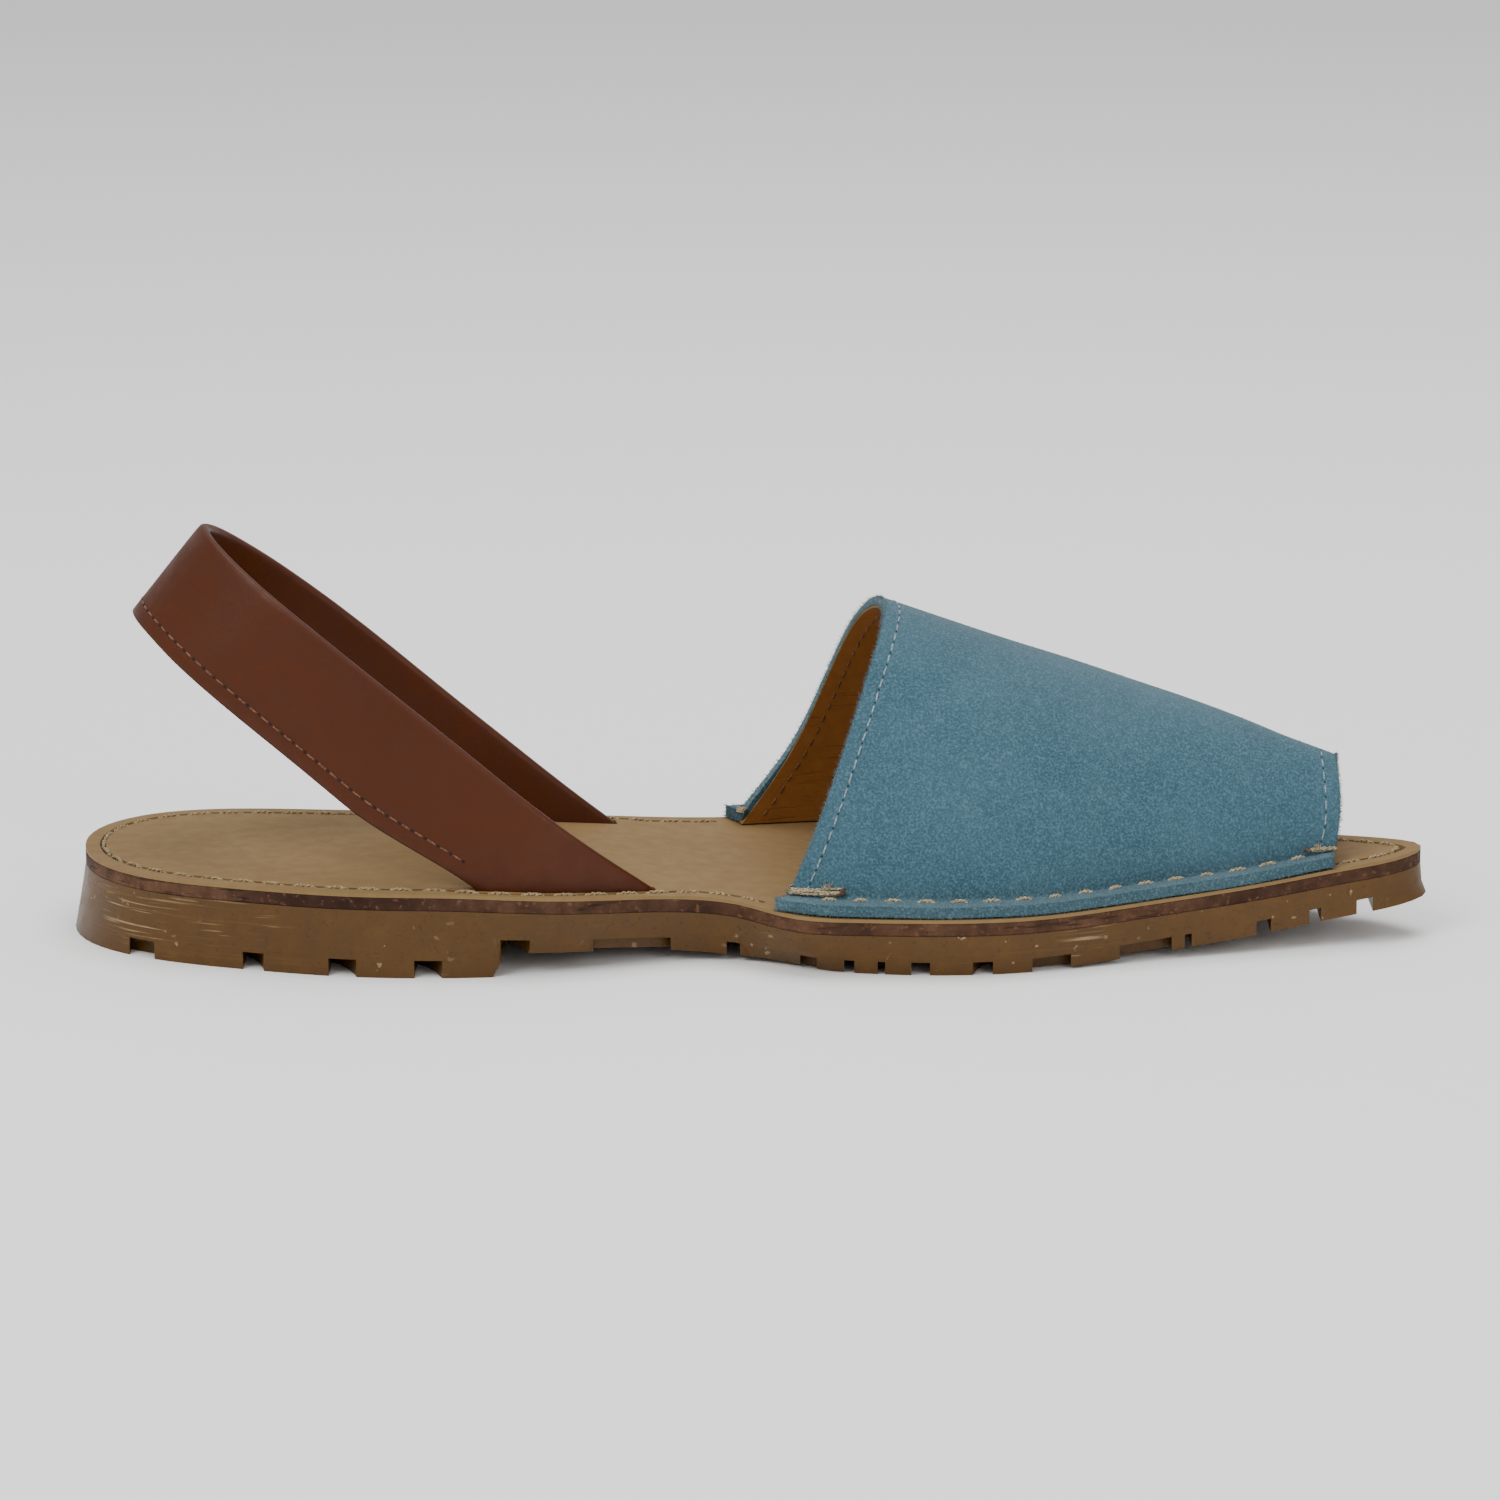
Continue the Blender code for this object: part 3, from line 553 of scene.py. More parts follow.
def makeRubber():
    settings = {"Subsurface Weight": 0.06, "Subsurface Radius": (0.002, 0.0012, 0.0006), "Subsurface Scale": 1.0, "Specular IOR Level": 0.28}
    material, tree, sockets, place = newMaterial("caramelRubber", **settings)
    wide = useGroup(tree, patches, {"Place": place, "Per Metre": 30.0, "From": 0.30, "To": 0.72})
    close = useGroup(tree, patches, {"Place": place, "Per Metre": 260.0, "From": 0.40, "To": 0.72})
    pits = useGroup(tree, patches, {"Place": place, "Per Metre": rubberLook["pitsPerMetre"], "From": 0.30, "To": 0.40})
    lines = useGroup(tree, scratches, {"Place": place, "Across Per Metre": 2100.0, "Along Per Metre": 70.0, "Amount": 0.44})
    ground = useGroup(tree, scratches, {"Place": place, "Across Per Metre": 1300.0, "Along Per Metre": 18.0, "Amount": 0.62})
    shade = shadeBy(tree, colour(rubberLook["body"]), colour(rubberLook["pale"]), wide, 0.0, 1.0, 0.0, 0.35)
    shade = shadeBy(tree, shade, colour(rubberLook["dark"]), close, 0.0, 1.0, 0.30, 0.0)
    shade = shadeBy(tree, shade, colour(rubberLook["dark"]), pits, 0.0, 1.0, 0.4, 0.0)
    shade = mixColours(tree, calculate(tree, "MULTIPLY", ground, 0.22), shade, colour(rubberLook["pale"]))
    nicks = useGroup(tree, patches, {"Place": place, "Per Metre": 430.0, "From": 0.67, "To": 0.70})
    marks = calculate(tree, "MAXIMUM", lines, calculate(tree, "MULTIPLY", nicks, stretchRange(tree, wide, 0.3, 0.8)))
    shade = mixColours(tree, calculate(tree, "MULTIPLY", marks, 0.75), shade, colour(rubberLook["scratch"]))
    tree.links.new(shade, sockets["Base Color"])
    worn = calculate(tree, "ADD", calculate(tree, "MULTIPLY", lines, 0.3), stretchRange(tree, close, 0.0, 1.0, 0.36, 0.48))
    tree.links.new(worn, sockets["Roughness"])
    height = calculate(tree, "SUBTRACT", pits, calculate(tree, "ADD", calculate(tree, "MULTIPLY", ground, 0.5), lines))
    addBump(tree, sockets, height, 0.00006)
    return material


# a dark colour for the discs at stitch holes: painted shade
def makeHoleShade(name, code):
    material, tree, sockets, place = newMaterial(name, **{"Roughness": 0.9})
    # darker towards black in patches: painted shade deeper in the hole
    depth = useGroup(tree, patches, {"Place": place, "Per Metre": 1500.0, "From": 0.3, "To": 0.7})
    tree.links.new(mixColours(tree, depth, colour(code), colour("000000")), sockets["Base Color"])
    return material


def makeFloor():
    material, tree, sockets, place = newMaterial("paleFloor", **{"Roughness": 0.85, "Specular IOR Level": 0.1})
    cloud = useGroup(tree, patches, {"Place": place, "Per Metre": 3.0, "From": 0.2, "To": 0.8})
    pale = studio["floorColour"]
    tree.links.new(mixColours(tree, cloud, pale, [p * 1.01 for p in pale[:3]] + [1]), sockets["Base Color"])
    return material


setStudio()
insoleLeather, grooveShadeLeather = makeLeather("insoleLeather"), makeLeather("grooveShadeLeather")
strapLeather, strapCutEdge = makeLeather("strapLeather"), makeLeather("strapCutEdge")
liningLeather, liningCutEdge = makeLeather("liningLeather"), makeLeather("liningCutEdge")
boardLeather = makeLeather("boardLeather")
suede, suedeCutEdge = makeSuede("blueSuede"), makeSuede("suedeCutEdge", cutEdge=True)
waxedThread, paleThread = makeThread("waxedThread"), makeThread("paleThread")
brownThread, creamThread = makeThread("brownThread"), makeThread("creamThread")
caramelRubber = makeRubber()
# the hole discs' colours are painted shade
awlHoleShade, suedeHoleShade = makeHoleShade("awlHoleShade", "1e0d04"), makeHoleShade("suedeHoleShade", "16303c")
print("materials made")

putDownAll()
bpy.ops.mesh.primitive_circle_add(vertices=64, radius=studio["floorRadius"], fill_type="NGON", location=(0, 0, 0))
floor = bpy.context.object
floor.name = "floor"
floor.data.materials.append(makeFloor())


# Outsole

outsolePlan = {"bevel": 0.00032, "bevelFrom": 36, "smoothUpTo": 34}


def makeOutsole():
    piece = copyOfNode("outsole", "outsoleRubber")
    bevelEdges(piece, outsolePlan["bevel"], outsolePlan["bevelFrom"])
    smoothUpTo(piece, outsolePlan["smoothUpTo"], settled=True)
    paint(piece, caramelRubber)
    dress(piece, ["outsole"])
    print("outsole:", len(piece.data.polygons), "faces")


makeOutsole()


# Board and insole

leatherPlan = {
    "boardBevel": 0.00028,
    "insoleBevel": 0.00022,
    "smoothUpTo": 34,
    "stitchMargin": 0.0033,      # from the board's edge to the sewn line
    "marginAtFeet": 0.0021,      # where the line passes outside the strap's feet
    "footRoom": 0.006,
    "pressedTogether": 0.00022,
    "grooveRadius": 0.00062,
    "vampRearInner": 0.0035,     # x where the vamp's flange takes over
    "vampRearOuter": -0.0050,
    "vampFront": 0.1110,
}
waxedStitch = {"pitch": 0.0062, "gap": 0.10, "plies": 2, "steps": 9, "sides": 5, "radius": 0.00025, "spread": 0.00021,
               "height": 0.00005, "sink": 0.00055, "turns": 2.2, "wander": 0.00012}


def thicken(piece, amount):      # closes the layer gaps, so the layers read as glued
    for vertex in piece.data.vertices:
        if abs(vertex.normal.z) > 0.3:
            vertex.co.z += math.copysign(amount, vertex.normal.z)


def makeBoard():
    piece = copyOfNode("midsole", "leatherBoard")
    bevelEdges(piece, leatherPlan["boardBevel"], 40)
    smoothUpTo(piece, leatherPlan["smoothUpTo"], settled=True)
    thicken(piece, leatherPlan["pressedTogether"])
    paint(piece, boardLeather)
    dress(piece, ["midsole"])


def topEdges(edge):
    if len(edge.link_faces) != 2:
        return False
    heights = sorted(face.normal.z for face in edge.link_faces)
    return heights[1] > 0.7 and abs(heights[0]) < 0.5


def insoleRuns(piece):      # the board's outline, then the outlines of the two slits
    shape = shapeOf(piece)
    runs = edgeRuns(shape, topEdges)
    shape.free()
    return runs


def inwards(point):      # from the insole's edge towards its middle line
    middle = Vector((min(max(point.x, -0.090), 0.092), -0.004 if point.x < 0.05 else -0.002, point.z))
    return (middle - point).normalized()


def sewnMargin(footSpans):
    def margin(point):
        beside = 0.0
        for low, high, side in footSpans:
            if side * point.y > 0:
                reach = leatherPlan["footRoom"]
                near = min((point.x - low) / reach, (high - point.x) / reach) + 1
                beside = max(beside, min(max(near, 0.0), 1.0))
        beside = beside * beside * (3 - 2 * beside)
        return leatherPlan["stitchMargin"] + (leatherPlan["marginAtFeet"] - leatherPlan["stitchMargin"]) * beside
    return margin


def splitByVamp(line):      # the rear run from the inner corner round the heel to the outer one, and the toe's run
    rear = [(p, n) for p, n in line if p.x < (leatherPlan["vampRearInner"] if p.y < 0 else leatherPlan["vampRearOuter"])]
    toe = [(p, n) for p, n in line if p.x > leatherPlan["vampFront"]]
    parts = []
    for part in (rear, toe):
        gaps = [(part[i][0] - part[i - 1][0]).length for i in range(len(part))]
        start = gaps.index(max(gaps))
        parts.append(part[start:] + part[:start])
    return parts


def makeInsole():
    piece = copyOfNode("insole", "leatherInsole")
    outline, *slits = insoleRuns(piece)
    surface = surfaceOf(piece, lambda face: face.normal.z > 0.7)
    spans = []
    for slit in slits[:2]:
        along = [point.x for point in slit]
        spans.append((min(along), max(along), 1 if slit[0].y > 0 else -1))
    margin = sewnMargin(spans)
    line = insetLine(evenly(outline, 0.0015)[:-1], margin, inwards, surface)
    runs = splitByVamp(line)
    cutter = bmesh.new()
    for run in runs:
        path = [place + upwards * 0.0001 for place, _ in run]
        addTube(cutter, path, [leatherPlan["grooveRadius"]] * len(path), 8, upwards)
    cutter = meshPiece(cutter, "grooveCutter")
    paint(piece, insoleLeather, grooveShadeLeather)
    paint(cutter, insoleLeather, grooveShadeLeather)
    # the channel's faces take the groove leather, whose darker colour is painted shade
    for face in cutter.data.polygons:
        face.material_index = 1
    bevelEdges(piece, leatherPlan["insoleBevel"], 50)
    finishWith(piece, "BOOLEAN", object=cutter, operation="DIFFERENCE", solver="EXACT")
    bpy.data.objects.remove(cutter, do_unlink=True)
    smoothUpTo(piece, leatherPlan["smoothUpTo"], settled=True)
    dress(piece, ["insole"])
    thread = bmesh.new()
    for run in runs:
        sew(thread, respaced(run, waxedStitch["pitch"], surface), waxedStitch)
    handOver("insole", (thread, "insoleStitches", waxedThread))
    print("insole:", len(piece.data.polygons), "faces,", len(runs), "sewn runs")
    return outline, surface


makeBoard()
outline, insoleSurface = makeInsole()


# Vamp: suede outside, leather inside

vampPlan = {
    "levels": 3,
    "suede": 0.0021,           # thickness on the flange
    "suedeOnWall": 0.80,       # share of it on the wall
    "lining": 0.0016,          # thickness at its foot
    "liningOnWall": 0.30,
    "rimBevel": 0.00030,
    "footColourUpTo": 0.0044,
    "cornerFrom": 30,
    "thickUpTo": 0.0032,
    "flangeReach": 0.0025,       # how far the flange's rear corner runs on behind the fold
    "flangeTop": 0.0024,
    "foldCrease": 0.50,
    "seamInset": 0.0028,
    "holeRadius": 0.00021,
    "touching": 0.0006,        # a corner this near to the board's edge or the insole lies on it
    "roughAmount": 0.00022,
    "roughScale": 60.0,
}
vampForms = (
    # place, along, length, width, height
    ((0.020, -0.036, 0.030), (0.35, 0.0, 1.0), 0.012, 0.006, -0.00030),
    ((0.045, -0.034, 0.034), (1.0, 0.0, 0.35), 0.022, 0.007, 0.00035),
    ((0.085, -0.024, 0.030), (1.0, 0.1, -0.45), 0.016, 0.005, -0.00035),
    ((0.100, -0.006, 0.034), (0.2, 1.0, 0.0), 0.012, 0.004, -0.00035),
    ((0.060, 0.000, 0.047), (1.0, 0.0, -0.45), 0.030, 0.006, -0.00030),
    ((0.030, 0.030, 0.036), (1.0, 0.2, 0.2), 0.020, 0.008, -0.00040),
    ((0.080, 0.022, 0.030), (0.8, 0.2, -0.5), 0.016, 0.006, 0.00035),
)
edgeStitch = {"pitch": 0.0028, "gap": 0.10, "plies": 1, "steps": 6, "sides": 5, "radius": 0.00017, "spread": 0.0,
              "height": 0.00005, "sink": 0.00035, "turns": 0, "wander": 0.00009}


def spreadFrom(shape, start, passes):      # all faces reached from the start over edges that may be passed
    reached, waiting = {start}, [start]
    while waiting:
        face = waiting.pop()
        for edge in face.edges:
            if len(edge.link_faces) == 2 and passes(edge):
                for other in edge.link_faces:
                    if other not in reached:
                        reached.add(other)
                        waiting.append(other)
    return reached


def rimCorners(shape):      # the open edge of a sheet, corner by corner
    beside = {}
    for edge in shape.edges:
        if len(edge.link_faces) == 1:
            for corner, other in (edge.verts, reversed(edge.verts)):
                beside.setdefault(corner, []).append(other)
    first = next(iter(beside))
    rim = [first, beside[first][0]]
    while True:
        ahead = [corner for corner in beside[rim[-1]] if corner is not rim[-2]][0]
        if ahead is first:
            return rim
        rim.append(ahead)


def rowsOf(shape, onSide):      # the sheet's corners row by row from its rear edge, read off its triangles
    rim = rimCorners(shape)
    flags = [onSide(corner.co) for corner in rim]
    start = next(i for i in range(len(rim)) if flags[i] and not flags[i - 1])
    rim, flags = rim[start:] + rim[:start], flags[start:] + flags[:start]
    firstOff = flags.index(False)
    secondOn = flags.index(True, firstOff)
    secondOff = flags.index(False, secondOn)
    sides = [rim[:firstOff], rim[secondOn:secondOff]]
    ends = [[rim[firstOff - 1], *rim[firstOff:secondOn + 1]], [rim[secondOff - 1], *rim[secondOff:], rim[0]]]
    if sum(c.co.x for c in ends[0]) < sum(c.co.x for c in ends[1]):
        row, side = ends[0], sides[0][::-1]
    else:
        row, side = ends[1], sides[1][::-1]
    used, rows = set(), [row]
    for beginning in side[1:]:
        following = [beginning]
        for here, ahead in zip(row, row[1:]):
            low = following[-1]
            face = next(f for f in shape.edges.get((here, ahead)).link_faces if f not in used)
            used.add(face)
            third = next(c for c in face.verts if c not in (here, ahead))
            pair = (ahead, low) if third is low else (here, third)
            face = next(f for f in shape.edges.get(pair).link_faces if f not in used)
            used.add(face)
            following.append(next(c for c in face.verts if c not in pair) if third is low else third)
        rows.append(following)
        row = following
    return [[corner.co.copy() for corner in row] for row in rows]


def layFlanges(rows):      # lays the flanges' corners along the board's edge, and evens the wall's foot
    edge = evenly(outline, 0.0004)
    for step, row in enumerate(rows):
        back = vampPlan["flangeReach"] * (1 - step / (len(rows) - 1))
        for foot, wall, above, middle, end in ((2, 3, 4, 1, 0), (-3, -4, -5, -2, -1)):
            fold = row[foot]
            even = fold.lerp(row[above], 0.45)
            if row[wall].z < even.z:
                row[wall] = even
            side = 1 if fold.y > 0 else -1
            x = fold.x - back
            rim = min((point for point in edge if point.y * side > fold.y * side), key=lambda point: abs(point.x - x))
            height = insoleSurface.find_nearest(rim)[0].z + vampPlan["flangeTop"]
            row[end] = Vector((x, rim.y - side * 0.0001, height))
            row[middle] = Vector((fold.x - back * 0.5, (fold.y + rim.y) / 2, (height + fold.z) / 2))


def vampSheet(name, outside, onSide):      # one face of the CAD vamp in clean quads: outside with its flanges, or inside
    piece = copyOfNode("vamp", name, inQuads=False)
    shape = shapeOf(piece)
    shape.faces.ensure_lookup_table()
    sign = 1 if outside else -1
    seen = BVHTree.FromBMesh(shape).ray_cast(Vector((0.05, 0, 0.1 if outside else 0.02)), -sign * upwards)[2]
    top = shape.faces[seen]
    kept = spreadFrom(shape, top, lambda edge: not (turnsOut(edge) and edge.calc_face_angle() > math.radians(vampPlan["cornerFrom"])))
    bmesh.ops.delete(shape, geom=[face for face in shape.faces if face not in kept], context="FACES")
    rows = rowsOf(shape, onSide)
    shape.free()
    if outside:
        layFlanges(rows)
    shape = bmesh.new()
    corners = [[shape.verts.new(place) for place in row] for row in rows]
    for row, following in zip(corners, corners[1:]):
        for i in range(len(row) - 1):
            shape.faces.new((row[i], row[i + 1], following[i + 1], following[i]))
    bmesh.ops.recalc_face_normals(shape, faces=shape.faces)
    ridge = max(shape.faces, key=lambda face: face.calc_center_median().z)
    if ridge.normal.z * sign < 0:
        bmesh.ops.reverse_faces(shape, faces=shape.faces)
    shape.normal_update()
    creases = creaseLayer(shape)
    for row, following in zip(corners, corners[1:]) if outside else ():
        for column in (2, -3):
            shape.edges.get((row[column], following[column]))[creases] = vampPlan["foldCrease"]
    print(name, len(rows), "rows of", len(rows[0]))
    shape.to_mesh(piece.data)
    shape.free()
    finishWith(piece, "SUBSURF", levels=vampPlan["levels"], render_levels=vampPlan["levels"],
               boundary_smooth="PRESERVE_CORNERS")
    return piece


def openRim(piece):      # a sheet's open edge as one closed run
    shape = shapeOf(piece)
    rim = edgeRuns(shape, lambda edge: len(edge.link_faces) == 1)[0]
    shape.free()
    return rim


def rearAndFront(rim):      # splits a sheet's closed rim where it turns from the lower edge up the arch
    rim = rim[:-1] if (rim[0] - rim[-1]).length < 1e-6 else rim
    count = len(rim)
    steep = []
    for i, point in enumerate(rim):
        lead = (rim[(i + 3) % count] - rim[i - 3]).normalized()
        steep.append(abs(lead.x) < 0.80)
    start = next(i for i in range(count) if steep[i] and not steep[i - 1])
    runs, current = [], []
    for k in range(count + 1):
        i = (start + k) % count
        if steep[i] and k < count:
            current.append(rim[i])
        elif current:
            runs.append(current)
            current = []
    runs = sorted(runs, key=runLength, reverse=True)[:2]
    return sorted(runs, key=lambda run: sum(point.x for point in run) / len(run))


def markFoot(sheet):      # a group for its thickness and a colour mask, both fading out above the foot
    heights = [v.co.z - insoleSurface.find_nearest(Vector((v.co.x, v.co.y, 0.012)))[0].z for v in sheet.data.vertices]
    group = sheet.vertex_groups.new(name="foot")
    for i, height in enumerate(heights):
        group.add([i], min(max(1.6 - height / vampPlan["thickUpTo"], 0.0), 1.0), "REPLACE")
    mask = sheet.data.attributes.new("footMask", "FLOAT", "POINT")
    mask.data.foreach_set("value", [min(max((vampPlan["footColourUpTo"] - height) / 0.0016, 0.0), 1.0) for height in heights])


def makeVamp():
    edgePlan = [Vector((point.x, point.y, 0)) for point in evenly(outline, 0.0005)]

    def atBoardEdge(place):
        return min((Vector((place.x, place.y, 0)) - point).length for point in edgePlan) < vampPlan["touching"]

    def onInsole(place):
        return (place - insoleSurface.find_nearest(place)[0]).length < vampPlan["touching"]

    suedeSheet = vampSheet("vampSuede", True, atBoardEdge)
    riseAndFall(suedeSheet, vampForms, vampPlan["roughAmount"], vampPlan["roughScale"])
    suedeSurface = surfaceOf(suedeSheet)
    rear, front = rearAndFront(openRim(suedeSheet))
    markFoot(suedeSheet)
    paint(suedeSheet, suede, suedeCutEdge)
    finishWith(suedeSheet, "SOLIDIFY", thickness=vampPlan["suede"], offset=-1.0, vertex_group="foot",
               thickness_vertex_group=vampPlan["suedeOnWall"], use_even_offset=True, material_offset_rim=1)
    bevelEdges(suedeSheet, vampPlan["rimBevel"], 60)
    smoothUpTo(suedeSheet, 50)
    dress(suedeSheet, ["vamp"])
    liningSheet = vampSheet("vampLining", False, onInsole)
    liningSurface = surfaceOf(liningSheet)
    liningRear, liningFront = rearAndFront(openRim(liningSheet))
    paint(liningSheet, liningLeather, liningCutEdge)
    markFoot(liningSheet)
    finishWith(liningSheet, "SOLIDIFY", thickness=vampPlan["lining"], offset=-1.0, vertex_group="foot",
               thickness_vertex_group=vampPlan["liningOnWall"], use_even_offset=True, material_offset_rim=1)
    smoothUpTo(liningSheet, 50)
    dress(liningSheet)
    print("vamp:", len(suedeSheet.data.polygons), "suede faces,", len(liningSheet.data.polygons), "lining faces")
    outer, inner, holes = bmesh.new(), bmesh.new(), bmesh.new()
    for run, ahead in ((rear, 1), (front, -1)):
        line = seamLine(run, vampPlan["seamInset"], Vector((ahead, 0, 0)), suedeSurface, edgeStitch, 3)
        sew(outer, line, edgeStitch)
        for place, normal in line:
            # a disc of painted shade at each stitch hole
            addHoleShade(holes, place, normal, vampPlan["holeRadius"])
    for run, ahead in ((liningRear, 1), (liningFront, -1)):
        sew(inner, seamLine(run, vampPlan["seamInset"], Vector((ahead, 0, 0)), liningSurface, edgeStitch, 3), edgeStitch)
    handOver("vamp", (outer, "vampStitches", paleThread), (inner, "liningStitches", brownThread), (holes, "vampHoleShades", suedeHoleShade))
    return suedeSurface


suedeSurface = makeVamp()


# Heavy stitches through the flanges

flangePlan = {
    "rearX": 0.0090, "frontX": 0.1080,
    "rearMargin": 0.0041, "frontMargin": 0.0034,      # from the board's edge
}


def makeFlangeStitches():
    thread = bmesh.new()
    for side in (-1, 1):
        run = [point for point in evenly(outline, 0.001) if point.y * side > 0 and -0.004 < point.x < 0.112]
        run.sort(key=lambda point: point.x)
        line = []
        for i, point in enumerate(run):
            share = min(max((point.x - flangePlan["rearX"]) / (flangePlan["frontX"] - flangePlan["rearX"]), 0), 1)
            margin = flangePlan["rearMargin"] + (flangePlan["frontMargin"] - flangePlan["rearMargin"]) * share
            lead = (run[min(i + 1, len(run) - 1)] - run[max(i - 1, 0)]).normalized()
            inward = Vector((lead.y, -lead.x, 0)) * side
            place, normal = suedeSurface.find_nearest(point + inward * margin + upwards * 0.0026)[:2]
            line.append((place, (normal + upwards).normalized()))
        low = flangePlan["rearX"] + (0.003 if side < 0 else -0.008)
        line = [(place, normal) for place, normal in line if low < place.x < flangePlan["frontX"]]
        points = evenly([place for place, _ in line], waxedStitch["pitch"])
        sew(thread, [(point, min(line, key=lambda at: (at[0] - point).length)[1]) for point in points],
            dict(waxedStitch, gap=0.22, height=0.00016))
    handOver("vamp", (thread, "flangeStitches", creamThread))
    print("flange stitches sewn")


makeFlangeStitches()


# Thread bars round the vamp's corners, and the suede's loose fibres

barPlan = {
    # corner: x of its edge, side, direction along the foot, length, strands as lift above the flange and distance off the wall
    "rearInner": (0.0060, -1, 1, 0.0104, ((0.0002, 0.0002), (0.0005, 0.0002), (0.0008, 0.0002), (0.0011, 0.0002), (0.0003, 0.0006), (0.0007, 0.0006))),
    "rearOuter": (-0.0030, 1, 1, 0.0090, ((0.0003, 0.0002), (0.0006, 0.0002), (0.0009, 0.0002), (0.0005, 0.0005))),
    "frontInner": (0.1140, -1, -1, 0.0050, ((0.0003, 0.0002), (0.0006, 0.0002), (0.0005, 0.0005))),
    "frontOuter": (0.1140, 1, -1, 0.0050, ((0.0003, 0.0002), (0.0006, 0.0002))),
}
barThread = {"radius": 0.00017, "spread": 0.00015, "turnsPerMetre": 420.0, "steps": 14, "sides": 5}
fuzzPlan = {"perRimFace": 4, "rimLength": 0.00075, "nap": 7000, "napLength": 0.00028, "width": 0.00005}


def addFibre(shape, root, lead, length, width):      # one loose fibre, a thin bent spike
    side = lead.orthogonal().normalized() * width
    other = lead.cross(side).normalized() * width
    base = [shape.verts.new(root + corner) for corner in (side, -0.5 * side + 0.87 * other, -0.5 * side - 0.87 * other)]
    bend = Vector([dice.uniform(-0.4, 0.4) for _ in range(3)]) * length
    tip = shape.verts.new(root + lead * length + bend)
    for k in range(3):
        shape.faces.new((base[k], base[(k + 1) % 3], tip))


def onWall(x, side, height):      # the place and the normal on the wall's outside, or nothing where the ray passes it
    place, normal = suedeSurface.ray_cast(Vector((x, side * 0.06, height)), Vector((0, -side, 0)))[:2]
    return (place, normal) if place and place.y * side > 0.003 else None


def addStrand(shape, path, phase):      # two thin tubes twisted round each other along a path of places and normals
    for ply in (0, math.pi):
        centres, passed = [], 0.0
        for i, (place, normal) in enumerate(path):
            passed += (place - path[i - 1][0]).length if i else 0.0
            lead = (path[min(i + 1, len(path) - 1)][0] - path[max(i - 1, 0)][0]).normalized()
            turn = phase + ply + passed * math.tau * barThread["turnsPerMetre"]
            across = lead.cross(normal).normalized()
            centres.append(place + (across * math.cos(turn) + normal * math.sin(turn)) * barThread["spread"])
        addTube(shape, centres, [barThread["radius"]] * len(centres), barThread["sides"], path[0][1])


def makeBars():
    thread, frays, ends = bmesh.new(), bmesh.new(), bmesh.new()
    for x, side, way, length, strands in barPlan.values():
        flangeTop = insoleSurface.find_nearest(Vector((x, side * 0.02, 0.02)))[0].z + vampPlan["flangeTop"]
        for lift, off in strands:
            height = flangeTop + lift
            first = next((x + way * 0.0001 * k for k in range(80) if onWall(x + way * 0.0001 * k, side, height)), None)
            if first is None:
                continue
            reach = length * dice.uniform(0.85, 1.0)
            path = []
            for step in range(barThread["steps"] + 1):
                share = step / barThread["steps"]
                hit = onWall(first + way * (0.0002 + reach * share), side, height + 0.00025 * math.sin(share * 5 + lift * 9000) * share)
                if hit:
                    path.append((hit[0] + hit[1] * off, hit[1]))
            rim, normal = path[0]
            wrap = [(rim + Vector((way * 0.0006, -side * 0.0030, 0)), Vector((0, -side, 0))),
                    (rim + Vector((-way * 0.0007, -side * 0.0018, 0)), Vector((-way, -side, 0)).normalized()),
                    (rim + Vector((-way * 0.0006, -side * 0.0004, 0)), Vector((-way, side, 0)).normalized())]
            addStrand(thread, wrap + path, dice.uniform(0, math.tau))
            for _ in range(9):      # the loosened end
                lead = Vector((way * dice.uniform(-0.2, 1), side * dice.uniform(0, 0.6), dice.uniform(-0.7, 0.9))).normalized()
                addFibre(ends, path[-1][0] + normal * 0.0001, lead, dice.uniform(0.0006, 0.0014), 0.00008)
        tuft = onWall(first + way * length * 0.62, side, flangeTop + 0.0011)
        for _ in range(26 if tuft else 0):      # a frayed tuft standing on the bundle
            root = tuft[0] + tuft[1] * 0.0004 + Vector((dice.uniform(-1, 1) * length * 0.10, 0, 0))
            lead = Vector((dice.uniform(-0.6, 0.6), side * 0.15, 1)).normalized()
            addFibre(frays, root, lead, dice.uniform(0.0007, 0.0017) * length / 0.0100, 0.00010)
    handOver("vamp", (thread, "cornerBars", creamThread), (frays, "barFrays", creamThread), (ends, "barEnds", brownThread))
    print("corner bars made")


def makeFuzz():
    edges, nap = bmesh.new(), bmesh.new()
    mesh = bpy.data.objects["vampSuede"].data
    for face in mesh.polygons:
        if face.material_index == 1:
            corners = [mesh.vertices[i].co for i in face.vertices]
            for _ in range(fuzzPlan["perRimFace"]):
                root = corners[0].lerp(corners[1], dice.random()).lerp(corners[2].lerp(corners[-1], dice.random()), dice.random())
                lead = (face.normal + Vector([dice.uniform(-0.9, 0.9) for _ in range(3)])).normalized()
                addFibre(edges, root, lead, fuzzPlan["rimLength"] * dice.uniform(0.3, 1.3), fuzzPlan["width"])
    outer = [face for face in mesh.polygons if face.material_index == 0]
    for _ in range(fuzzPlan["nap"]):
        face = dice.choice(outer)
        if suedeSurface.find_nearest(face.center)[3] > 0.0004:
            continue
        lead = (face.normal * 0.6 + Vector([dice.uniform(-0.8, 0.8) for _ in range(3)])).normalized()
        if lead.dot(face.normal) > 0.1:
            addFibre(nap, face.center, lead, fuzzPlan["napLength"] * dice.uniform(0.5, 1.4), fuzzPlan["width"] * 0.7)
    handOver("vamp", (edges, "suedeEdgeFibres", suedeCutEdge), (nap, "suedeNapFibres", suede))
    print("fibres made")


makeBars()
makeFuzz()


# Heel strap

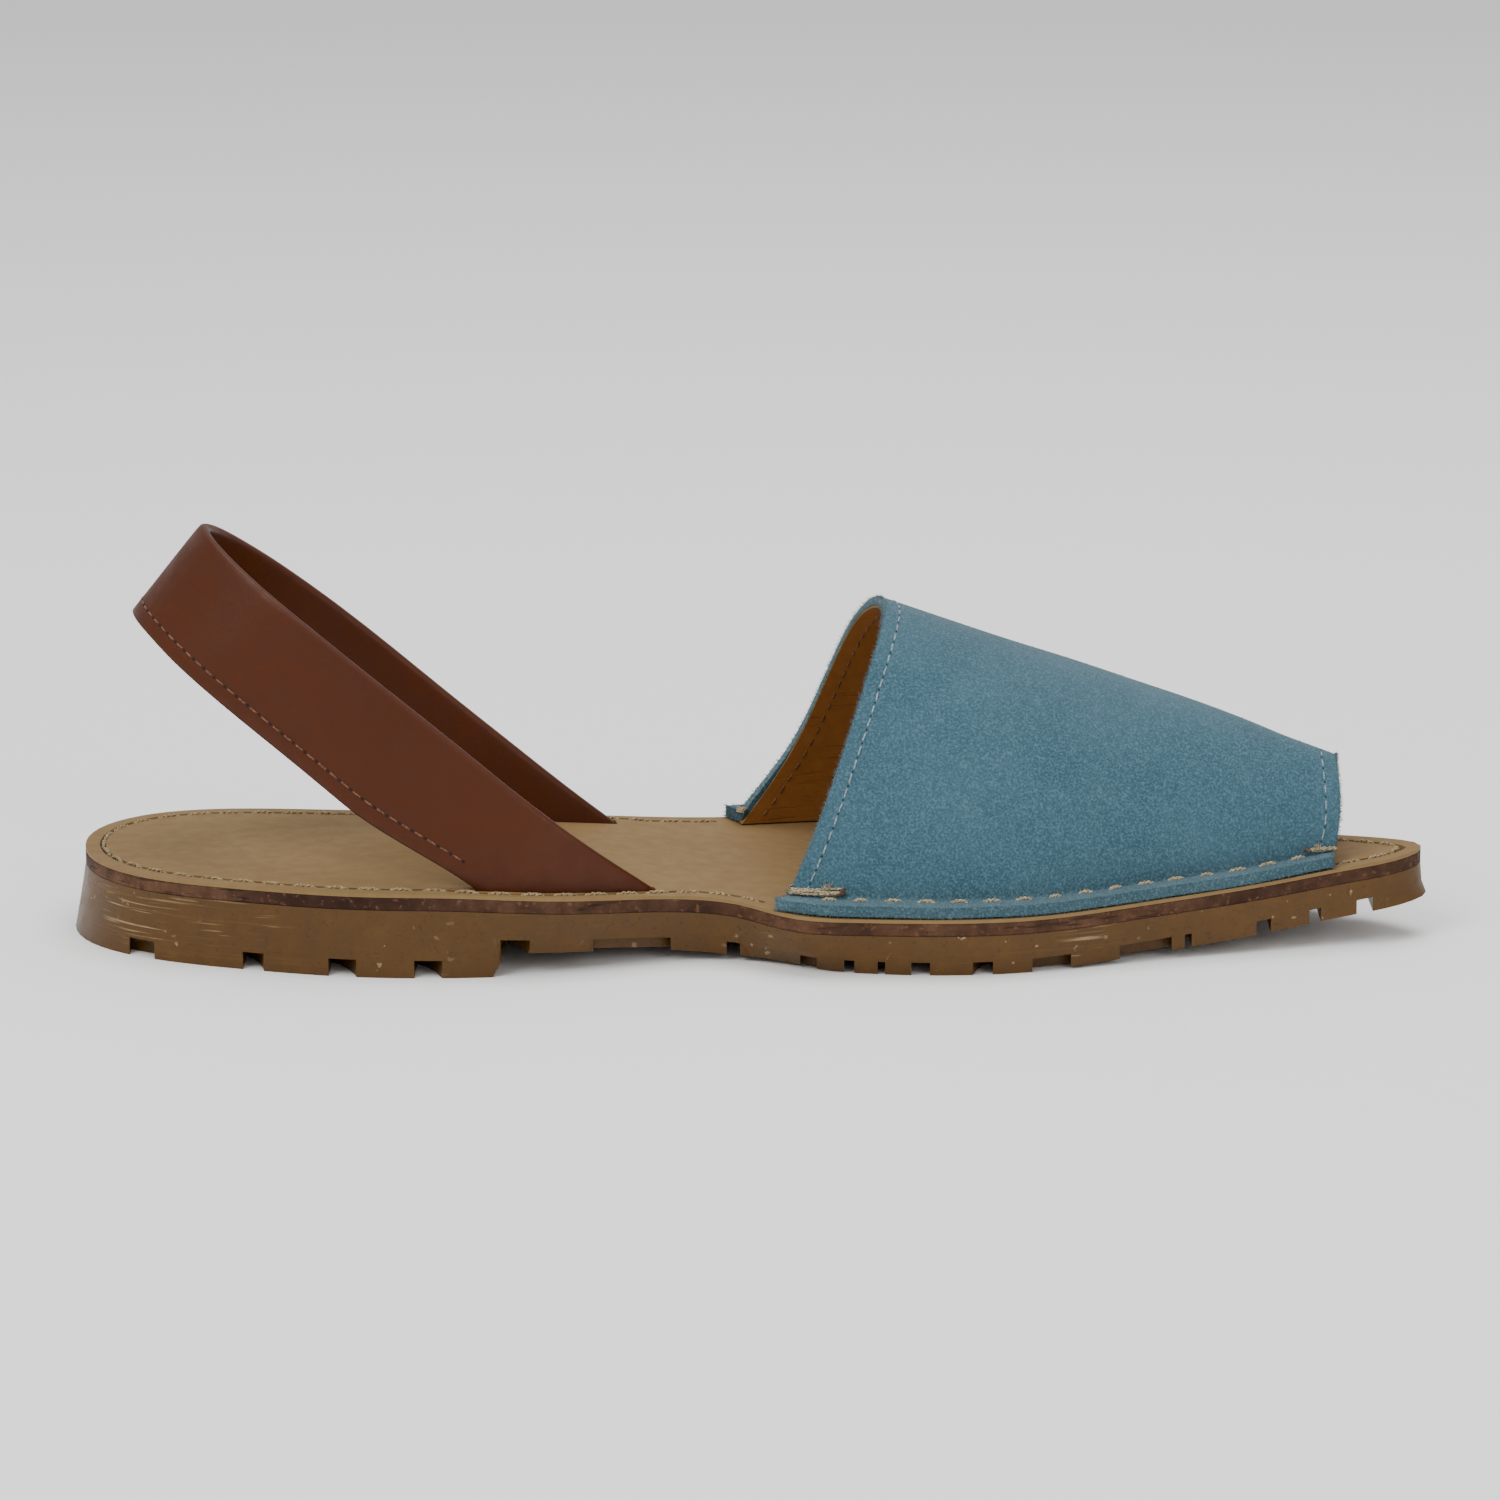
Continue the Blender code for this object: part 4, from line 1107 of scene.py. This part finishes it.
strapPlan = {
    "slope": 38.0,
    "plyGroove": 0.00035,
    "plySwell": 0.00012,
    "levels": 2,
    "edgeCrease": 0.55,
    "seamInset": 0.0030,
    "sewnAbove": 0.0165,
    "holeRadius": 0.00034,
    "roughAmount": 0.00012,
    "roughScale": 45.0,
}
strapStitch = {"pitch": 0.0028, "gap": 0.14, "plies": 1, "steps": 6, "sides": 6, "radius": 0.00017, "spread": 0.0,
               "height": 0.00008, "sink": 0.00030, "turns": 0, "wander": 0.00005}
strapForms = (
    # place, along, length, width, height
    ((-0.085, -0.026, 0.050), (0.79, 0.0, -0.61), 0.020, 0.006, 0.00030),
    ((-0.050, -0.034, 0.030), (0.79, 0.0, -0.61), 0.016, 0.005, -0.00030),
    ((-0.110, -0.010, 0.062), (0.3, 1.0, 0.0), 0.010, 0.005, -0.00030),
)


def makeStrap():
    slope = math.radians(strapPlan["slope"])
    up = Vector((math.sin(slope), 0, math.cos(slope)))
    piece = copyOfNode("heel_strap", "heelStrapLeather")

    def isCutEdge(face):
        return face.normal.dot(up) < -0.5 and face.normal.z > -0.95

    pickParts(piece, "EDGE", lambda edge: len(edge.link_faces) == 2 and all(map(isCutEdge, edge.link_faces)) and edge.calc_length() < 0.0032)
    bpy.ops.mesh.subdivide(number_cuts=3, quadcorner="INNERVERT")
    bpy.ops.object.mode_set(mode="OBJECT")
    shape = shapeOf(piece)
    runs = edgeRuns(shape, lambda edge: len(edge.link_faces) == 2 and sum(map(isCutEdge, edge.link_faces)) == 1
                    and all(face.normal.z > -0.95 for face in edge.link_faces))[:2]
    creases = creaseLayer(shape)
    for edge in shape.edges:
        if len(edge.link_faces) == 2 and edge.calc_face_angle() > math.radians(50):
            edge[creases] = strapPlan["edgeCrease"]
    for vertex in shape.verts:
        if all(isCutEdge(face) for face in vertex.link_faces):
            ends = [min((vertex.co - point).length for point in run) for run in runs]
            middle = abs(ends[0] - ends[1]) < 0.0004
            vertex.co += up * (strapPlan["plyGroove"] if middle else -strapPlan["plySwell"])
    for face in shape.faces:
        face.material_index = 1 if isCutEdge(face) else 0
    shape.to_mesh(piece.data)
    shape.free()
    paint(piece, strapLeather, strapCutEdge)
    finishWith(piece, "SUBSURF", levels=strapPlan["levels"], render_levels=strapPlan["levels"])
    riseAndFall(piece, strapForms, strapPlan["roughAmount"], strapPlan["roughScale"])
    smoothUpTo(piece, 40)
    dress(piece, ["heel_strap"])
    surface = surfaceOf(piece, lambda face: face.material_index == 0)
    thread, holes = bmesh.new(), bmesh.new()
    for run in runs:
        shown = [point for point in run if point.z > strapPlan["sewnAbove"]]
        line = seamLine(shown, strapPlan["seamInset"], up, surface, strapStitch, 1)
        sew(thread, line, strapStitch)
        for place, normal in line:
            # a disc of painted shade at each stitch hole
            addHoleShade(holes, place, normal, strapPlan["holeRadius"])
    handOver("heel_strap", (thread, "strapStitches", brownThread), (holes, "strapHoleShades", awlHoleShade))
    print("strap:", len(piece.data.polygons), "faces")


makeStrap()

putDownAll()
